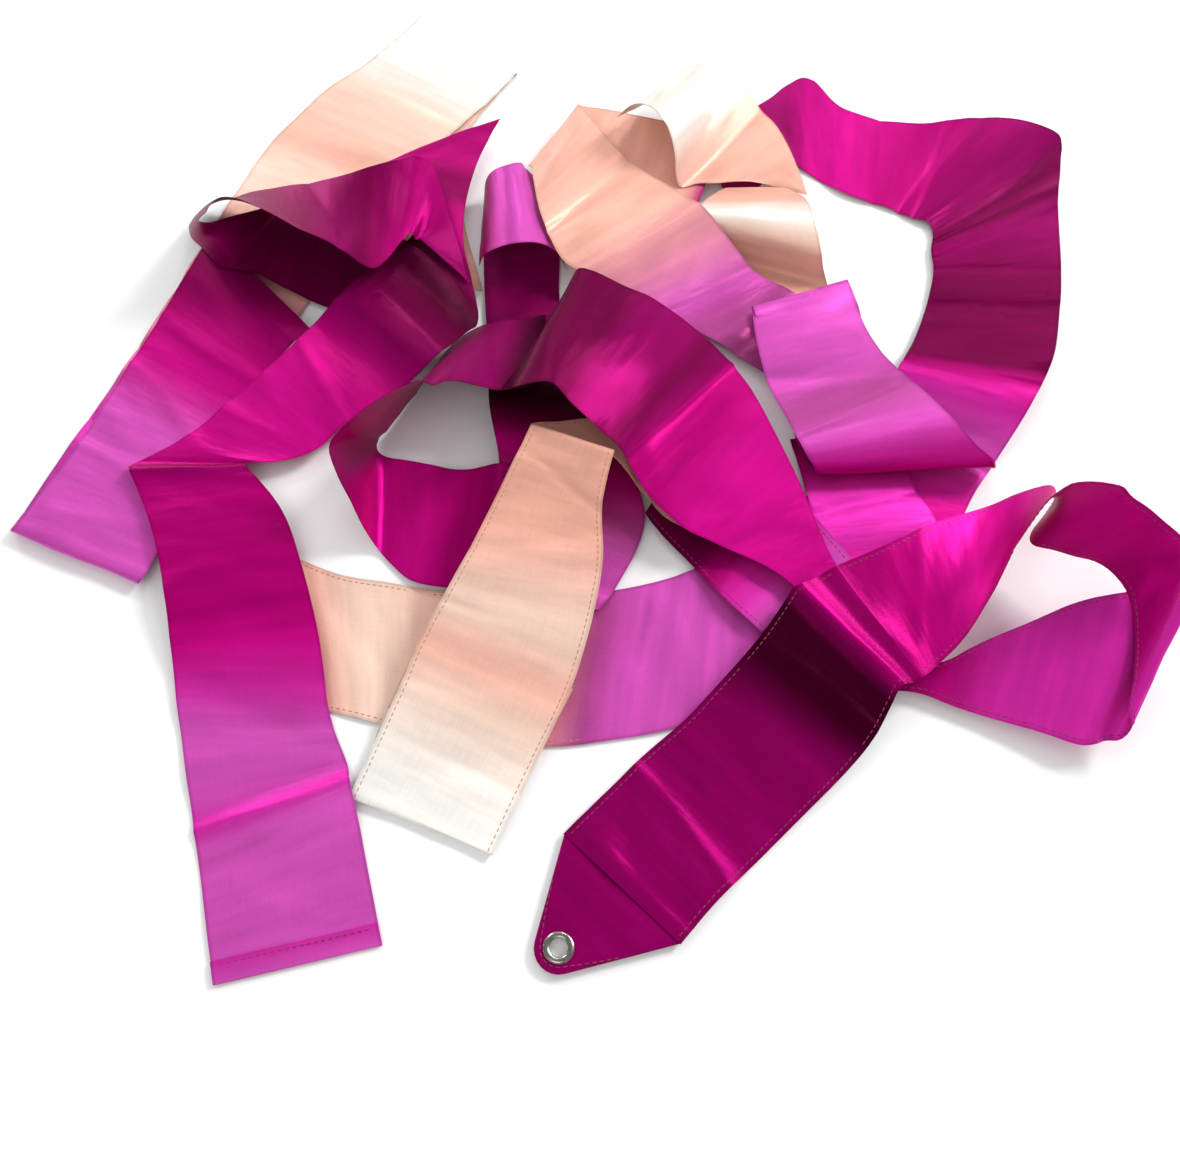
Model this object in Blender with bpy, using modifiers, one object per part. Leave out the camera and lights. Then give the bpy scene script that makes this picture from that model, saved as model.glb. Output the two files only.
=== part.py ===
"""A rhythmic gymnastics ribbon lying in a loose heap: satin strip, doubled end, eyelet and hem.

Metres, +Z up.  The table is z = 0 and the origin is the middle of the heap's footprint.
The strip is given as runs.  A run is a list of rungs, and a rung is the strip's left and right
edge at one place, in millimetres from the layout point.  The runs are listed from the table up,
and each is laid over the ones before it, so the heights below are only the least heights.
"""
import math

import bmesh
import bpy
import numpy as np

# Driving dimensions, in metres
CLOTH = 0.00035            # thickness of one layer of satin
LINING_GAP = 0.00035       # air between the strip and the strip that doubles it
RUNG_STEP = 0.006          # spacing of the rungs along a run
CLEARANCE = 0.0017         # least height between two layers that cross
LIFT_SLOPE = 0.30          # how quickly a lifted run comes down again
FOLD_REACH = 0.012         # two runs further apart than this are joined without a round fold
HINGE_GAP = 0.0010         # gap between two links of a tail, at a crease
THREAD_RADIUS = 0.00022
THREAD_INSET = 0.0018      # edge stitching, in from the strip's edge
THREAD_GAP = 0.0003
EYELET_OUTER = 0.0046
EYELET_BORE = 0.0026
EYELET_WALL = 0.0004       # thickness of the eyelet's barrel
EYELET_FLANGE = 0.0005     # thickness of the eyelet's flange
TIP_RADIUS = 0.0072        # rounded nose of the pointed end, about the eyelet
HEM_DEPTH = 0.0065
HEM_SEAM = 0.8             # where the hem's stitches run, as a share of its depth
FOLD_STEPS = 4             # facets of a round fold
NOSE_STEPS = 9             # facets of the nose, the hole in the cloth and the eyelet
HOLE_STEPS = 20
EYELET_STEPS = 24
CELL = 0.001               # cell of the height grid that runs are laid on
REACH = 0.34               # half the side of that grid
GRID_SAMPLES = 72          # places across a strip that mark the grid
SETTLE_SAMPLES = 27        # places across a strip that are held clear of it
SETTLE_ROUNDS = 12
TABLE = 0.001              # height in the runs of a strip that lies on the table

MM = 0.001

EYELET_AT = (-9, -120)      # middle of the eyelet, in the runs' own millimetres

RUNS = {
    "far_return": [
        ((-78, 293, 1), (-33, 253, 1)),
        ((-88, 262, 1), (-43, 236, 1)),
        ((-98, 222, 1), (-56, 205, 1)),
        ((-94, 177, 1), (-51, 163, 1)),
        ((-84, 144, 1), (-42, 128, 1)),
    ],
    "far_tail": [
        ((-200, 21, 2), (-152, 0, 2)),
        ((-190, 48, 2), (-144, 26, 2)),
        ((-176, 86, 2), (-129, 63, 2)),
        ((-164, 123, 2), (-117, 100, 2)),
        ((-155, 154, 2), (-105, 135, 2)),
        ((-146, 181, 2), (-94, 164, 2)),
        ((-137, 206, 2), (-83, 185, 2)),
        ((-120, 236, 2), (-64, 208, 2)),
        ((-89, 274, 2), (-39, 242, 2)),
        ((-78, 292, 3), (-33, 252, 3)),
    ],
    "left_tongue": [
        ((-149, 151, 8), (-105, 103, 8)),
        ((-155, 135, 8), (-113, 93, 8)),
        ((-164, 109, 6), (-120, 80, 6)),
        ((-174, 81, 5), (-129, 56, 5)),
        ((-184, 50, 5), (-140, 30, 5)),
        ((-198, 18, 5), (-150, -2, 5)),
    ],
    "s_u": [
        ((47, 224, 2), (57, 173, 2)),
        ((63, 229, 2), (73, 188, 2)),
        ((75, 234, 2), (81, 201, 6)),
        ((92, 250, 2), (87, 196, 2)),
        ((111, 230, 2), (105, 180, 2)),
        ((140, 221, 2), (122, 172, 2)),
        ((170, 226, 2), (131, 166, 2)),
        ((189, 219, 5), (135, 164, 3)),
        ((197, 208, 8), (137, 163, 3)),
        ((194, 193, 10), (138, 158, 3)),
        ((186, 162, 12), (136, 148, 3)),
        ((181, 130, 12), (135, 135, 3)),
        ((175, 104, 12), (127, 111, 3)),
        ((170, 87, 11), (121, 98, 4)),
        ((160, 69, 10), (115, 88, 6)),
        ((144, 46, 2), (106, 70, 2)),
        ((136, 35, 2), (90, 52, 2)),
        ((128, 22, 2), (76, 33, 2)),
        ((110, 0, 2), (58, 15, 2)),
    ],
    "s_x": [
        ((114, 60, 3), (72, 56, 3)),
        ((114, 35, 3), (76, 32, 3)),
        ((120, 19, 3), (79, 15, 3)),
        ((115, 3, 3), (80, -5, 3)),
    ],
    "s_o_under": [
        ((124, 71, 4), (73, 66, 4)),
        ((135, 55, 4), (75, 49, 4)),
        ((143, 45, 4), (80, 43, 4)),
    ],
    "s6": [
        ((-99, 8, 1), (-84, -47, 1)),
        ((-85, 2, 1), (-76, -49, 1)),
        ((-68, -1, 1), (-65, -52, 1)),
        ((-51, -4, 1), (-50, -56, 1)),
        ((-24, -6, 1), (-33, -57, 1)),
        ((-10, -6, 1), (-16, -59, 1)),
        ((17, -2, 1), (6, -57, 1)),
        ((35, 4, 1), (26, -53, 1)),
        ((52, 14, 1), (46, -43, 1)),
        ((69, 22, 1), (65, -33, 1)),
    ],
    "s5_under": [
        ((-56, -23, 1), (-5, -39, 1)),
        ((-65, -49, 1), (-17, -65, 1)),
        ((-74, -75, 1), (-29, -92, 1)),
    ],
    "s8": [
        ((-43, 153, 2), (-12, 154, 2)),
        ((-41, 123, 2), (-12, 123, 2)),
        ((-38, 93, 2), (-9, 96, 2)),
        ((-36, 65, 12), (4, 60, 10)),
        ((-32, 42, 5), (19, 24, 5)),
        ((-34, 15, 3), (9, -3, 3)),
        ((-37, -8, 3), (3, -12, 3)),
    ],
    "s_w": [
        ((0, 37, 1), (-17, -6, 1)),
        ((-32, 43, 1), (-33, -5, 1)),
        ((-45, 43, 1), (-49, -4, 1)),
        ((-60, 47, 1), (-60, -1, 1)),
        ((-74, 50, 2), (-74, 13, 4)),
        ((-77, 54, 2), (-80, 21, 20)),
        ((-76, 59, 2), (-85, 31, 36)),
        ((-72, 65, 2), (-77, 38, 42)),
        ((-68, 73, 2), (-67, 45, 44)),
        ((-64, 80, 2), (-57, 51, 44)),
        ((-54, 97, 3), (-53, 54, 38)),
        ((-41, 109, 3), (-47, 65, 26)),
        ((-27, 112, 3), (-31, 64, 22)),
        ((-17, 114, 3), (-18, 68, 20)),
    ],
    "hoop": [
        ((-42, 129, 14), (-44, 177, 2)),
        ((-40, 130, 18), (-43, 179, 8)),
        ((-33, 131, 22), (-40, 180, 13)),
        ((-24, 133, 22), (-33, 182, 15)),
        ((-16, 139, 14), (-28, 187, 11)),
        ((-11, 140, 5), (-26, 189, 6)),
        ((-9, 137, 0), (-23, 187, 2)),
    ],
    "s4": [
        ((56, -21, 3), (88, 6, 3)),
        ((43, -7, 3), (73, 28, 3)),
        ((35, 4, 3), (62, 41, 3)),
        ((27, 13, 4), (52, 51, 4)),
        ((19, 23, 5), (40, 63, 5)),
    ],
    "s_s": [
        ((-3, 225, 8), (-23, 190, 8)),
        ((13, 221, 8), (0, 175, 8)),
        ((32, 215, 8), (20, 167, 8)),
        ((54, 201, 6), (40, 158, 6)),
    ],
    "s_q": [
        ((11, 204, 20), (26, 231, 6)),
        ((17, 202, 27), (34, 239, 10)),
        ((23, 198, 31), (43, 240, 16)),
        ((29, 192, 29), (53, 234, 20)),
        ((33, 188, 22), (62, 230, 18)),
        ((35, 182, 15), (68, 226, 14)),
        ((36, 176, 9), (72, 221, 10)),
        ((42, 179, 8), (76, 216, 9)),
        ((54, 180, 8), (81, 206, 8)),
        ((68, 182, 6), (86, 190, 6)),
        ((80, 180, 4), (89, 177, 4)),
    ],
    "s_r": [
        ((55, 175, 10), (79, 175, 10)),
        ((47, 166, 13), (85, 166, 13)),
        ((43, 154, 17), (87, 150, 17)),
        ((45, 150, 14), (89, 138, 14)),
        ((53, 147, 7), (91, 133, 7)),
        ((60, 143, 3), (93, 128, 3)),
        ((68, 129, 3), (95, 114, 3)),
    ],
    "s_p": [
        ((-4, 220, 12), (-24, 184, 12)),
        ((16, 188, 12), (-18, 149, 12)),
        ((35, 166, 12), (-10, 133, 12)),
        ((50, 147, 10), (8, 121, 10)),
        ((64, 131, 8), (24, 111, 8)),
        ((77, 124, 6), (44, 101, 6)),
        ((99, 106, 4), (65, 85, 4)),
    ],
    "s_d_under": [
        ((-128, 129, 3), (-120, 174, 3)),
        ((-102, 118, 3), (-96, 168, 3)),
        ((-78, 104, 3), (-70, 150, 3)),
    ],
    "s_b": [
        ((-162, 42, 6), (-122, 44, 6)),
        ((-145, 54, 6), (-114, 44, 6)),
        ((-131, 70, 6), (-99, 48, 6)),
        ((-114, 89, 8), (-88, 59, 8)),
        ((-100, 110, 10), (-68, 73, 10)),
        ((-90, 122, 12), (-54, 85, 12)),
        ((-78, 137, 12), (-45, 99, 12)),
        ((-70, 145, 12), (-42, 102, 12)),
        ((-74, 159, 10), (-45, 123, 10)),
        ((-77, 173, 10), (-50, 149, 10)),
        ((-81, 185, 10), (-47, 185, 10)),
        ((-84, 190, 9), (-38, 216, 9)),
    ],
    "s_d": [
        ((-46, 122, 7), (-66, 143, 10)),
        ((-57, 161, 14), (-68, 142, 15)),
        ((-64, 180, 18), (-70, 141, 18)),
        ((-82, 180, 18), (-81, 122, 20)),
        ((-98, 173, 18), (-92, 125, 26)),
        ((-121, 171, 14), (-105, 129, 32)),
        ((-142, 173, 8), (-121, 136, 36)),
        ((-156, 172, 4), (-134, 137, 40)),
        ((-161, 157, 3), (-142, 127, 38)),
        ((-146, 135, 5), (-131, 148, 22)),
    ],
    "s_neck": [
        ((55, 42, 5), (37, 15, 8)),
        ((36, 51, 5), (26, 19, 10)),
        ((18, 60, 6), (19, 28, 12)),
        ((0, 60, 9), (12, 36, 14)),
        ((-20, 55, 15), (8, 44, 15)),
    ],
    "s_m": [
        ((-6, 114, 4), (-31, 62, 8)),
        ((-4, 122, 14), (-25, 56, 22)),
        ((7, 119, 16), (-15, 57, 26)),
        ((22, 111, 16), (-7, 52, 26)),
        ((33, 102, 16), (1, 47, 24)),
        ((48, 84, 16), (10, 42, 18)),
        ((56, 72, 15), (18, 28, 14)),
        ((62, 59, 14), (30, 15, 12)),
        ((72, 32, 12), (41, 10, 10)),
        ((82, 0, 10), (67, -7, 10)),
        ((90, -11, 8), (77, -25, 8)),
    ],
    "s_o_top": [
        ((102, 109, 7), (63, 99, 7)),
        ((99, 127, 8), (62, 113, 8)),
    ],
    "s_o": [
        ((97, 120, 16), (60, 107, 16)),
        ((100, 101, 16), (61, 93, 14)),
        ((105, 87, 16), (64, 76, 12)),
        ((117, 70, 16), (71, 56, 12)),
        ((126, 55, 18), (74, 45, 14)),
        ((140, 40, 12), (78, 39, 10)),
    ],
    "s3": [
        ((160, -59, 7), (188, -12, 23)),
        ((152, -61, 8), (174, -14, 21)),
        ((140, -56, 6), (156, -16, 17)),
        ((129, -52, 5), (140, -22, 14)),
        ((116, -47, 4), (124, -28, 11)),
        ((104, -42, 4), (112, -33, 7)),
        ((95, -41, 3), (103, -33, 5)),
    ],
    "s1": [
        ((-8, -87, 3), (26, -119, 3)),
        ((6, -73, 3), (37, -107, 3)),
        ((18, -61, 2), (51, -94, 1)),
        ((30, -51, 4), (65, -81, 2)),
        ((40, -41, 7), (79, -68, 4)),
        ((53, -27, 10), (88, -58, 6)),
        ((67, -8, 13), (97, -43, 10)),
    ],
    "s2": [
        ((67, -9, 13), (97, -43, 10)),
        ((81, -1, 13), (104, -40, 11)),
        ((96, 6, 13), (109, -36, 11)),
        ((114, 15, 12), (118, -28, 14)),
        ((135, 24, 9), (126, -17, 20)),
        ((153, 31, 5), (133, -5, 30)),
        ((161, 31, 3), (137, 1, 40)),
        ((158, 25, 2), (143, 7, 46)),
        ((150, 15, 2), (149, 9, 48)),
        ((146, 10, 2), (157, 9, 48)),
        ((156, 2, 2), (168, 4, 44)),
        ((166, -5, 2), (177, -5, 38)),
        ((170, -23, 2), (186, -8, 28)),
        ((167, -44, 2), (190, -8, 22)),
        ((164, -54, 2), (192, -7, 18)),
    ],
    "s5": [
        ((-20, 48, 24), (8, 37, 24)),
        ((-30, 23, 22), (4, 17, 22)),
        ((-41, -1, 18), (4, -3, 18)),
        ((-54, -25, 10), (-5, -40, 10)),
        ((-64, -50, 5), (-17, -66, 5)),
        ((-74, -76, 3), (-29, -93, 3)),
    ],
    "s_h": [
        ((-161, 40, 9), (-121, 42, 9)),
        ((-149, 16, 8), (-106, 24, 8)),
        ((-140, -10, 7), (-96, 1, 7)),
        ((-136, -27, 4), (-88, -24, 5)),
        ((-132, -44, 2), (-83, -47, 2)),
        ((-120, -85, 1), (-74, -69, 1)),
        ((-113, -109, 1), (-68, -91, 1)),
        ((-107, -130, 1), (-60, -119, 1)),
    ],
}

# Strips of the heap: the runs that follow one another, "-" for a run walked backwards.
# Where two runs meet at different heights the strip turns over in a small round fold.
HEAP_STRIPS = {
    "strip_far_stretch": ["-far_return", "-far_tail", "-left_tongue"],
    "strip_right_loop": ["s_u"],
    "strip_inner_turn": ["s_x"],
    "strip_lower_band": ["s6"],
    "strip_under_tongue": ["s8"],
    "strip_left_sweep": ["s_w"],
    "strip_orchid_hoop": ["hoop"],
    "strip_crossing": ["s4"],
    "strip_peach_cone": ["-s_s", "s_p"],
    "strip_peach_roll": ["s_r"],
    "strip_white_hoop": ["s_q"],
    "strip_hem_side": ["s_b"],
    "strip_big_curl": ["s_d", "s_d_under"],
    "strip_middle_band": ["s_m"],
    "strip_orchid_flap": ["-s_o_top", "s_o", "-s_o_under"],
    "strip_tongue": ["s_neck", "s5", "-s5_under"],
    "strip_eyelet_side": ["s2", "s3"],
}
COLOURS = {
    "plum": (0.19, 0.0, 0.13),
    "magenta": (0.48, 0.0, 0.27),
    "orchid": (0.62, 0.09, 0.52),
    "peach": (0.85, 0.45, 0.35),
    "white": (0.88, 0.80, 0.74),
}
STRIP_COLOURS = {
    "strip_far_stretch": "peach", "strip_lower_band": "peach", "strip_tongue": "peach",
    "strip_peach_cone": "peach", "strip_peach_roll": "peach", "strip_white_hoop": "white",
    "strip_orchid_flap": "orchid", "strip_orchid_hoop": "orchid", "strip_inner_turn": "orchid",
}
DOUBLED = ("s1",)                    # runs that leave room below for the lining
EYELET_LINK_RUNG = 3                 # way-point of the eyelet tail at its cross crease
HEM_LINK_RUNG = 5                    # way-point of the hem tail at its storage crease


def clear_scene():
    for item in list(bpy.data.objects):
        bpy.data.objects.remove(item, do_unlink=True)


def material(name, colour, roughness, metallic=0.0):
    made = bpy.data.materials.new(name)
    made.use_nodes = True
    shader = made.node_tree.nodes["Principled BSDF"]
    shader.inputs["Base Color"].default_value = (*colour, 1.0)
    shader.inputs["Roughness"].default_value = roughness
    shader.inputs["Metallic"].default_value = metallic
    return made


# ---- laying the runs -------------------------------------------------------------------------
def hermite(knots, points, at):
    """Smooth curve through points at the given knots, with centred tangents."""
    secant = np.diff(points, axis=0) / np.diff(knots)[:, None]
    slopes = np.vstack([secant[:1], secant[1:], secant[-1:]])
    for i in range(1, len(knots) - 1):
        before = knots[i] - knots[i - 1]
        after = knots[i + 1] - knots[i]
        slopes[i] = (secant[i - 1] * after + secant[i] * before) / (before + after)
    cell = np.clip(np.searchsorted(knots, at, side="right") - 1, 0, len(knots) - 2)
    span = np.diff(knots)[cell]
    t = ((at - knots[cell]) / span)[:, None]
    span = span[:, None]
    start = (2 * t**3 - 3 * t**2 + 1) * points[cell] + (t**3 - 2 * t**2 + t) * span * slopes[cell]
    end = (3 * t**2 - 2 * t**3) * points[cell + 1] + (t**3 - t**2) * span * slopes[cell + 1]
    return start + end


def refine(rungs):
    """Rungs every RUNG_STEP along a run: the left and right edges, and where way-points fall."""
    left = np.array([rung[0] for rung in rungs], float) * MM
    right = np.array([rung[1] for rung in rungs], float) * MM
    middle = np.linalg.norm(np.diff((left + right) / 2, axis=0), axis=1)
    edge = np.maximum(np.linalg.norm(np.diff(left, axis=0), axis=1),
                      np.linalg.norm(np.diff(right, axis=0), axis=1))
    knots = np.concatenate([[0.0], np.cumsum(np.maximum(middle, 0.6 * edge))])
    at = np.linspace(0, knots[-1], max(2, int(round(knots[-1] / RUNG_STEP)) + 1))
    way_points = [int(np.argmin(abs(at - knot))) for knot in knots]
    return hermite(knots, left, at), hermite(knots, right, at), way_points


class Pile:
    """The height of everything laid so far, on a grid over the table."""

    def __init__(self):
        self.cells_across = int(2 * REACH / CELL)
        self.height = np.full((self.cells_across, self.cells_across), TABLE - CLEARANCE)

    def cells(self, points):
        at = np.floor((points[..., :2] + REACH) / CELL).astype(int)
        return np.clip(at, 1, self.cells_across - 2)

    def under(self, points):
        at = self.cells(points)
        best = np.full(points.shape[:-1], TABLE - CLEARANCE)
        for dx in (-1, 0, 1):
            for dy in (-1, 0, 1):
                best = np.maximum(best, self.height[at[..., 0] + dx, at[..., 1] + dy])
        return best

    def lay(self, left, right):
        for a, b, c, d in zip(left, right, left[1:], right[1:]):
            reach = max(np.linalg.norm(c - a), np.linalg.norm(d - b))
            along = np.linspace(0, 1, 1 + int(math.ceil(reach / (0.7 * CELL))))
            across = np.linspace(0, 1, GRID_SAMPLES)
            u, v = np.meshgrid(along, across, indexing="ij")
            u, v = u[..., None], v[..., None]
            points = (a * (1 - u) + c * u) * (1 - v) + (b * (1 - u) + d * u) * v
            at = self.cells(points)
            np.maximum.at(self.height, (at[..., 0], at[..., 1]), points[..., 2])


def settle(left, right, pile, clearance):
    """Lift a run just enough to clear what lies beneath it, and let it down gently."""
    left, right = left.copy(), right.copy()
    steps = np.linalg.norm(np.diff((left + right) / 2, axis=0), axis=1)
    path = np.concatenate([[0.0], np.cumsum(steps)])
    reach = abs(path[:, None] - path[None, :])
    share = np.linspace(0, 1, SETTLE_SAMPLES)
    for _ in range(SETTLE_ROUNDS):
        points = left[:, None] * (1 - share[None, :, None]) + right[:, None] * share[None, :, None]
        short = np.maximum(pile.under(points) + clearance - points[..., 2], 0)
        if short.max() < 1e-5:
            break
        for edge, weight in ((left, 2 * (1 - share)), (right, 2 * share)):
            lift = (short * np.minimum(1, weight)).max(axis=1)
            lift = (lift[None, :] - LIFT_SLOPE * reach).max(axis=1)
            edge[:, 2] += np.maximum(lift, 0)
    return left, right


def lay_runs():
    """All runs at their final heights, with the middle of the footprint moved to the origin."""
    pile = Pile()
    laid = {}
    for name, rungs in RUNS.items():
        left, right, way_points = refine(rungs)
        room = CLOTH + LINING_GAP if name in DOUBLED else 0.0
        left, right = settle(left, right, pile, CLEARANCE + room)
        pile.lay(left, right)
        laid[name] = (left, right, way_points)
    edges = np.vstack([np.vstack(run[:2]) for run in laid.values()])
    low, high = edges.min(axis=0), edges.max(axis=0)
    nose = np.array(EYELET_AT) * MM
    low[1] = min(low[1], nose[1] - TIP_RADIUS)
    shift = np.array([-(low[0] + high[0]) / 2, -(low[1] + high[1]) / 2, CLOTH / 2 - TABLE])
    return {name: (run[0] + shift, run[1] + shift, run[2]) for name, run in laid.items()}, shift


# ---- strips ----------------------------------------------------------------------------------
def fold(left, right, next_left, next_right):
    """Rungs of the round turn between two layers, bulging out past the fold line."""
    rise = (next_left[0] + next_right[0]) / 2 - (left[-1] + right[-1]) / 2
    if np.linalg.norm(rise[:2]) > FOLD_REACH:
        return np.zeros((0, 3)), np.zeros((0, 3))
    out = left[-1] + right[-1] - left[-2] - right[-2]
    crease = (right[-1] - left[-1]) * (1, 1, 0)
    out = out * (1, 1, 0) - crease * (out @ crease) / (crease @ crease)
    out = out / np.linalg.norm(out)
    radius = abs(rise[2]) / 2
    turns = [math.pi * step / FOLD_STEPS for step in range(1, FOLD_STEPS)]

    def arc(start, end):
        points = []
        for turn in turns:
            share = (1 - math.cos(turn)) / 2
            points.append(start + (end - start) * share + out * radius * math.sin(turn))
        return np.array(points)

    return arc(left[-1], next_left[0]), arc(right[-1], next_right[0])


def chain(laid, names):
    """One pair of edges through several runs, with a fold wherever two of them meet."""
    left, right = np.zeros((0, 3)), np.zeros((0, 3))
    for name in names:
        run_left, run_right, _ = laid[name.lstrip("-")]
        if name.startswith("-"):
            run_left, run_right = run_left[::-1], run_right[::-1]
        if len(left):
            turn_left, turn_right = fold(left, right, run_left, run_right)
            left, right = np.vstack([left, turn_left]), np.vstack([right, turn_right])
        left, right = np.vstack([left, run_left]), np.vstack([right, run_right])
    return left, right


def add_object(name, mesh, skin, parts, parent=None):
    item = bpy.data.objects.new(name, mesh)
    item.data.materials.append(skin)
    parts.objects.link(item)
    if parent is not None:
        item.parent = parent
        item.matrix_parent_inverse = parent.matrix_world.inverted()
    return item


def strip_sheet(name, left, right, skin, parts, parent=None):
    """A strip of cloth: one face between each two rungs, thickened both ways by Solidify."""
    built = bmesh.new()
    rungs = [(built.verts.new(a), built.verts.new(b)) for a, b in zip(left, right)]
    for (a, b), (c, d) in zip(rungs, rungs[1:]):
        built.faces.new((a, b, d, c))
    mesh = bpy.data.meshes.new(name)
    built.to_mesh(mesh)
    built.free()
    item = add_object(name, mesh, skin, parts, parent)
    shell = item.modifiers.new("thickness", "SOLIDIFY")
    shell.thickness = CLOTH
    shell.offset = 0.0
    return item


def normals(left, right):
    """The upward direction square to the cloth at each rung."""
    along = np.gradient((left + right) / 2, axis=0)
    across = right - left
    face = np.cross(across, along)
    face = face / np.linalg.norm(face, axis=1)[:, None]
    return np.where(face[:, 2:] < 0, -face, face)


def thread(name, points, skin, parts, parent=None):
    """Stitching as one continuous thread lying on the cloth."""
    curve = bpy.data.curves.new(name, "CURVE")
    curve.dimensions = "3D"
    curve.bevel_depth = THREAD_RADIUS
    curve.bevel_resolution = 0
    curve.use_fill_caps = True
    line = curve.splines.new("POLY")
    line.points.add(len(points) - 1)
    for knot, place in zip(line.points, points):
        knot.co = (*place, 1.0)
    return add_object(name, curve, skin, parts, parent)


def edge_thread(name, left, right, share_side, skin, parts, parent):
    """Thread parallel to one edge of a run."""
    width = np.linalg.norm(right - left, axis=1)[:, None]
    inward = (right - left) / width if share_side == "left" else (left - right) / width
    start = left if share_side == "left" else right
    rise = normals(left, right) * (CLOTH / 2 + THREAD_GAP + THREAD_RADIUS)
    points = start + inward * THREAD_INSET + rise
    return thread(name, points[1:-2], skin, parts, parent)


def pulled_back(left, right, gap, at_start):
    """The run with its first or last rung drawn back by a hinge gap."""
    left, right = left.copy(), right.copy()
    end, inner = (0, 1) if at_start else (-1, -2)
    for edge in (left, right):
        way = edge[inner] - edge[end]
        edge[end] += way / np.linalg.norm(way) * gap
    return left, right


def empty(name, place, parts):
    holder = bpy.data.objects.new(name, None)
    holder.location = place
    parts.objects.link(holder)
    bpy.context.view_layer.update()
    return holder


# ---- the pointed end -------------------------------------------------------------------------
def tangent_outline(shoulder_left, shoulder_right, eyelet):
    """The pointed end seen from above: two shoulders and tangents to the nose circle."""
    centre = eyelet[:2]

    def touch(corner, side):
        away = corner[:2] - centre
        reach = np.linalg.norm(away)
        return math.atan2(away[1], away[0]) + side * math.acos(TIP_RADIUS / reach)

    first = touch(shoulder_right, -1)
    last = touch(shoulder_left, 1) - 2 * math.pi
    turns = np.linspace(first, last, NOSE_STEPS)
    nose = [centre + TIP_RADIUS * np.array([math.cos(turn), math.sin(turn)]) for turn in turns]
    return [shoulder_left[:2], shoulder_right[:2], *nose]


def flat_plate(name, outline, hole_centre, hole_radius, z, thickness, skin, parts, parent):
    """A flat cloth outline with one round hole, from a 2D curve."""
    curve = bpy.data.curves.new(name, "CURVE")
    curve.dimensions = "2D"
    curve.fill_mode = "BOTH"
    curve.extrude = thickness / 2
    loops = [outline]
    if hole_radius:
        turns = [2 * math.pi * step / HOLE_STEPS for step in range(HOLE_STEPS)]
        ways = np.array([(math.cos(turn), math.sin(turn)) for turn in turns])
        loops.append(hole_centre[:2] + hole_radius * ways)
    for loop in loops:
        line = curve.splines.new("POLY")
        line.points.add(len(loop) - 1)
        line.use_cyclic_u = True
        for knot, place in zip(line.points, loop):
            knot.co = (place[0] - hole_centre[0], place[1] - hole_centre[1], 0.0, 1.0)
    item = add_object(name, curve, skin, parts)
    item.location = (hole_centre[0], hole_centre[1], z)
    weld = item.modifiers.new("close", "WELD")
    weld.merge_threshold = 0.00001
    if parent is not None:
        bpy.context.view_layer.update()
        item.parent = parent
        item.matrix_parent_inverse = parent.matrix_world.inverted()
    return item


def turned(name, profile, place, skin, parts, parent):
    """A turned metal piece: profile points (radius, height) spun about +Z."""
    mesh = bpy.data.meshes.new(name)
    points = [(radius, 0.0, height) for radius, height in profile]
    edges = [(i, (i + 1) % len(points)) for i in range(len(points))]
    mesh.from_pydata(points, edges, [])
    item = add_object(name, mesh, skin, parts)
    item.location = place
    spin = item.modifiers.new("turn", "SCREW")
    spin.steps = EYELET_STEPS
    spin.render_steps = EYELET_STEPS
    spin.use_merge_vertices = True
    spin.merge_threshold = 0.00001
    bpy.context.view_layer.update()
    item.parent = parent
    item.matrix_parent_inverse = parent.matrix_world.inverted()
    return item


def build_heap(laid, skins, parts):
    """Every strip of the heap, which lies still."""
    for name, runs in HEAP_STRIPS.items():
        left, right = chain(laid, runs)
        if name in ("strip_hem_side", "strip_eyelet_side"):
            left, right = pulled_back(left, right, HINGE_GAP / 2, at_start=True)
        strip_sheet(name, left, right, skins[STRIP_COLOURS.get(name, "magenta")], parts)


def build_link(which, left, right, skins, parts):
    """One link of the doubled tail: the strip, the lining under it and stitching along both edges."""
    holder = empty("eyelet_tail_" + which + "_hinge", (left[-1] + right[-1]) / 2, parts)
    strip_sheet("eyelet_tail_" + which, left, right, skins["plum"], parts, holder)
    drop = normals(left, right) * (CLOTH + LINING_GAP)
    strip_sheet("lining_" + which, left - drop, right - drop, skins["plum"], parts, holder)
    for side in ("left", "right"):
        edge_thread("stitch_" + which + "_" + side, left, right, side, skins["thread"], parts, holder)
    return holder


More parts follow.
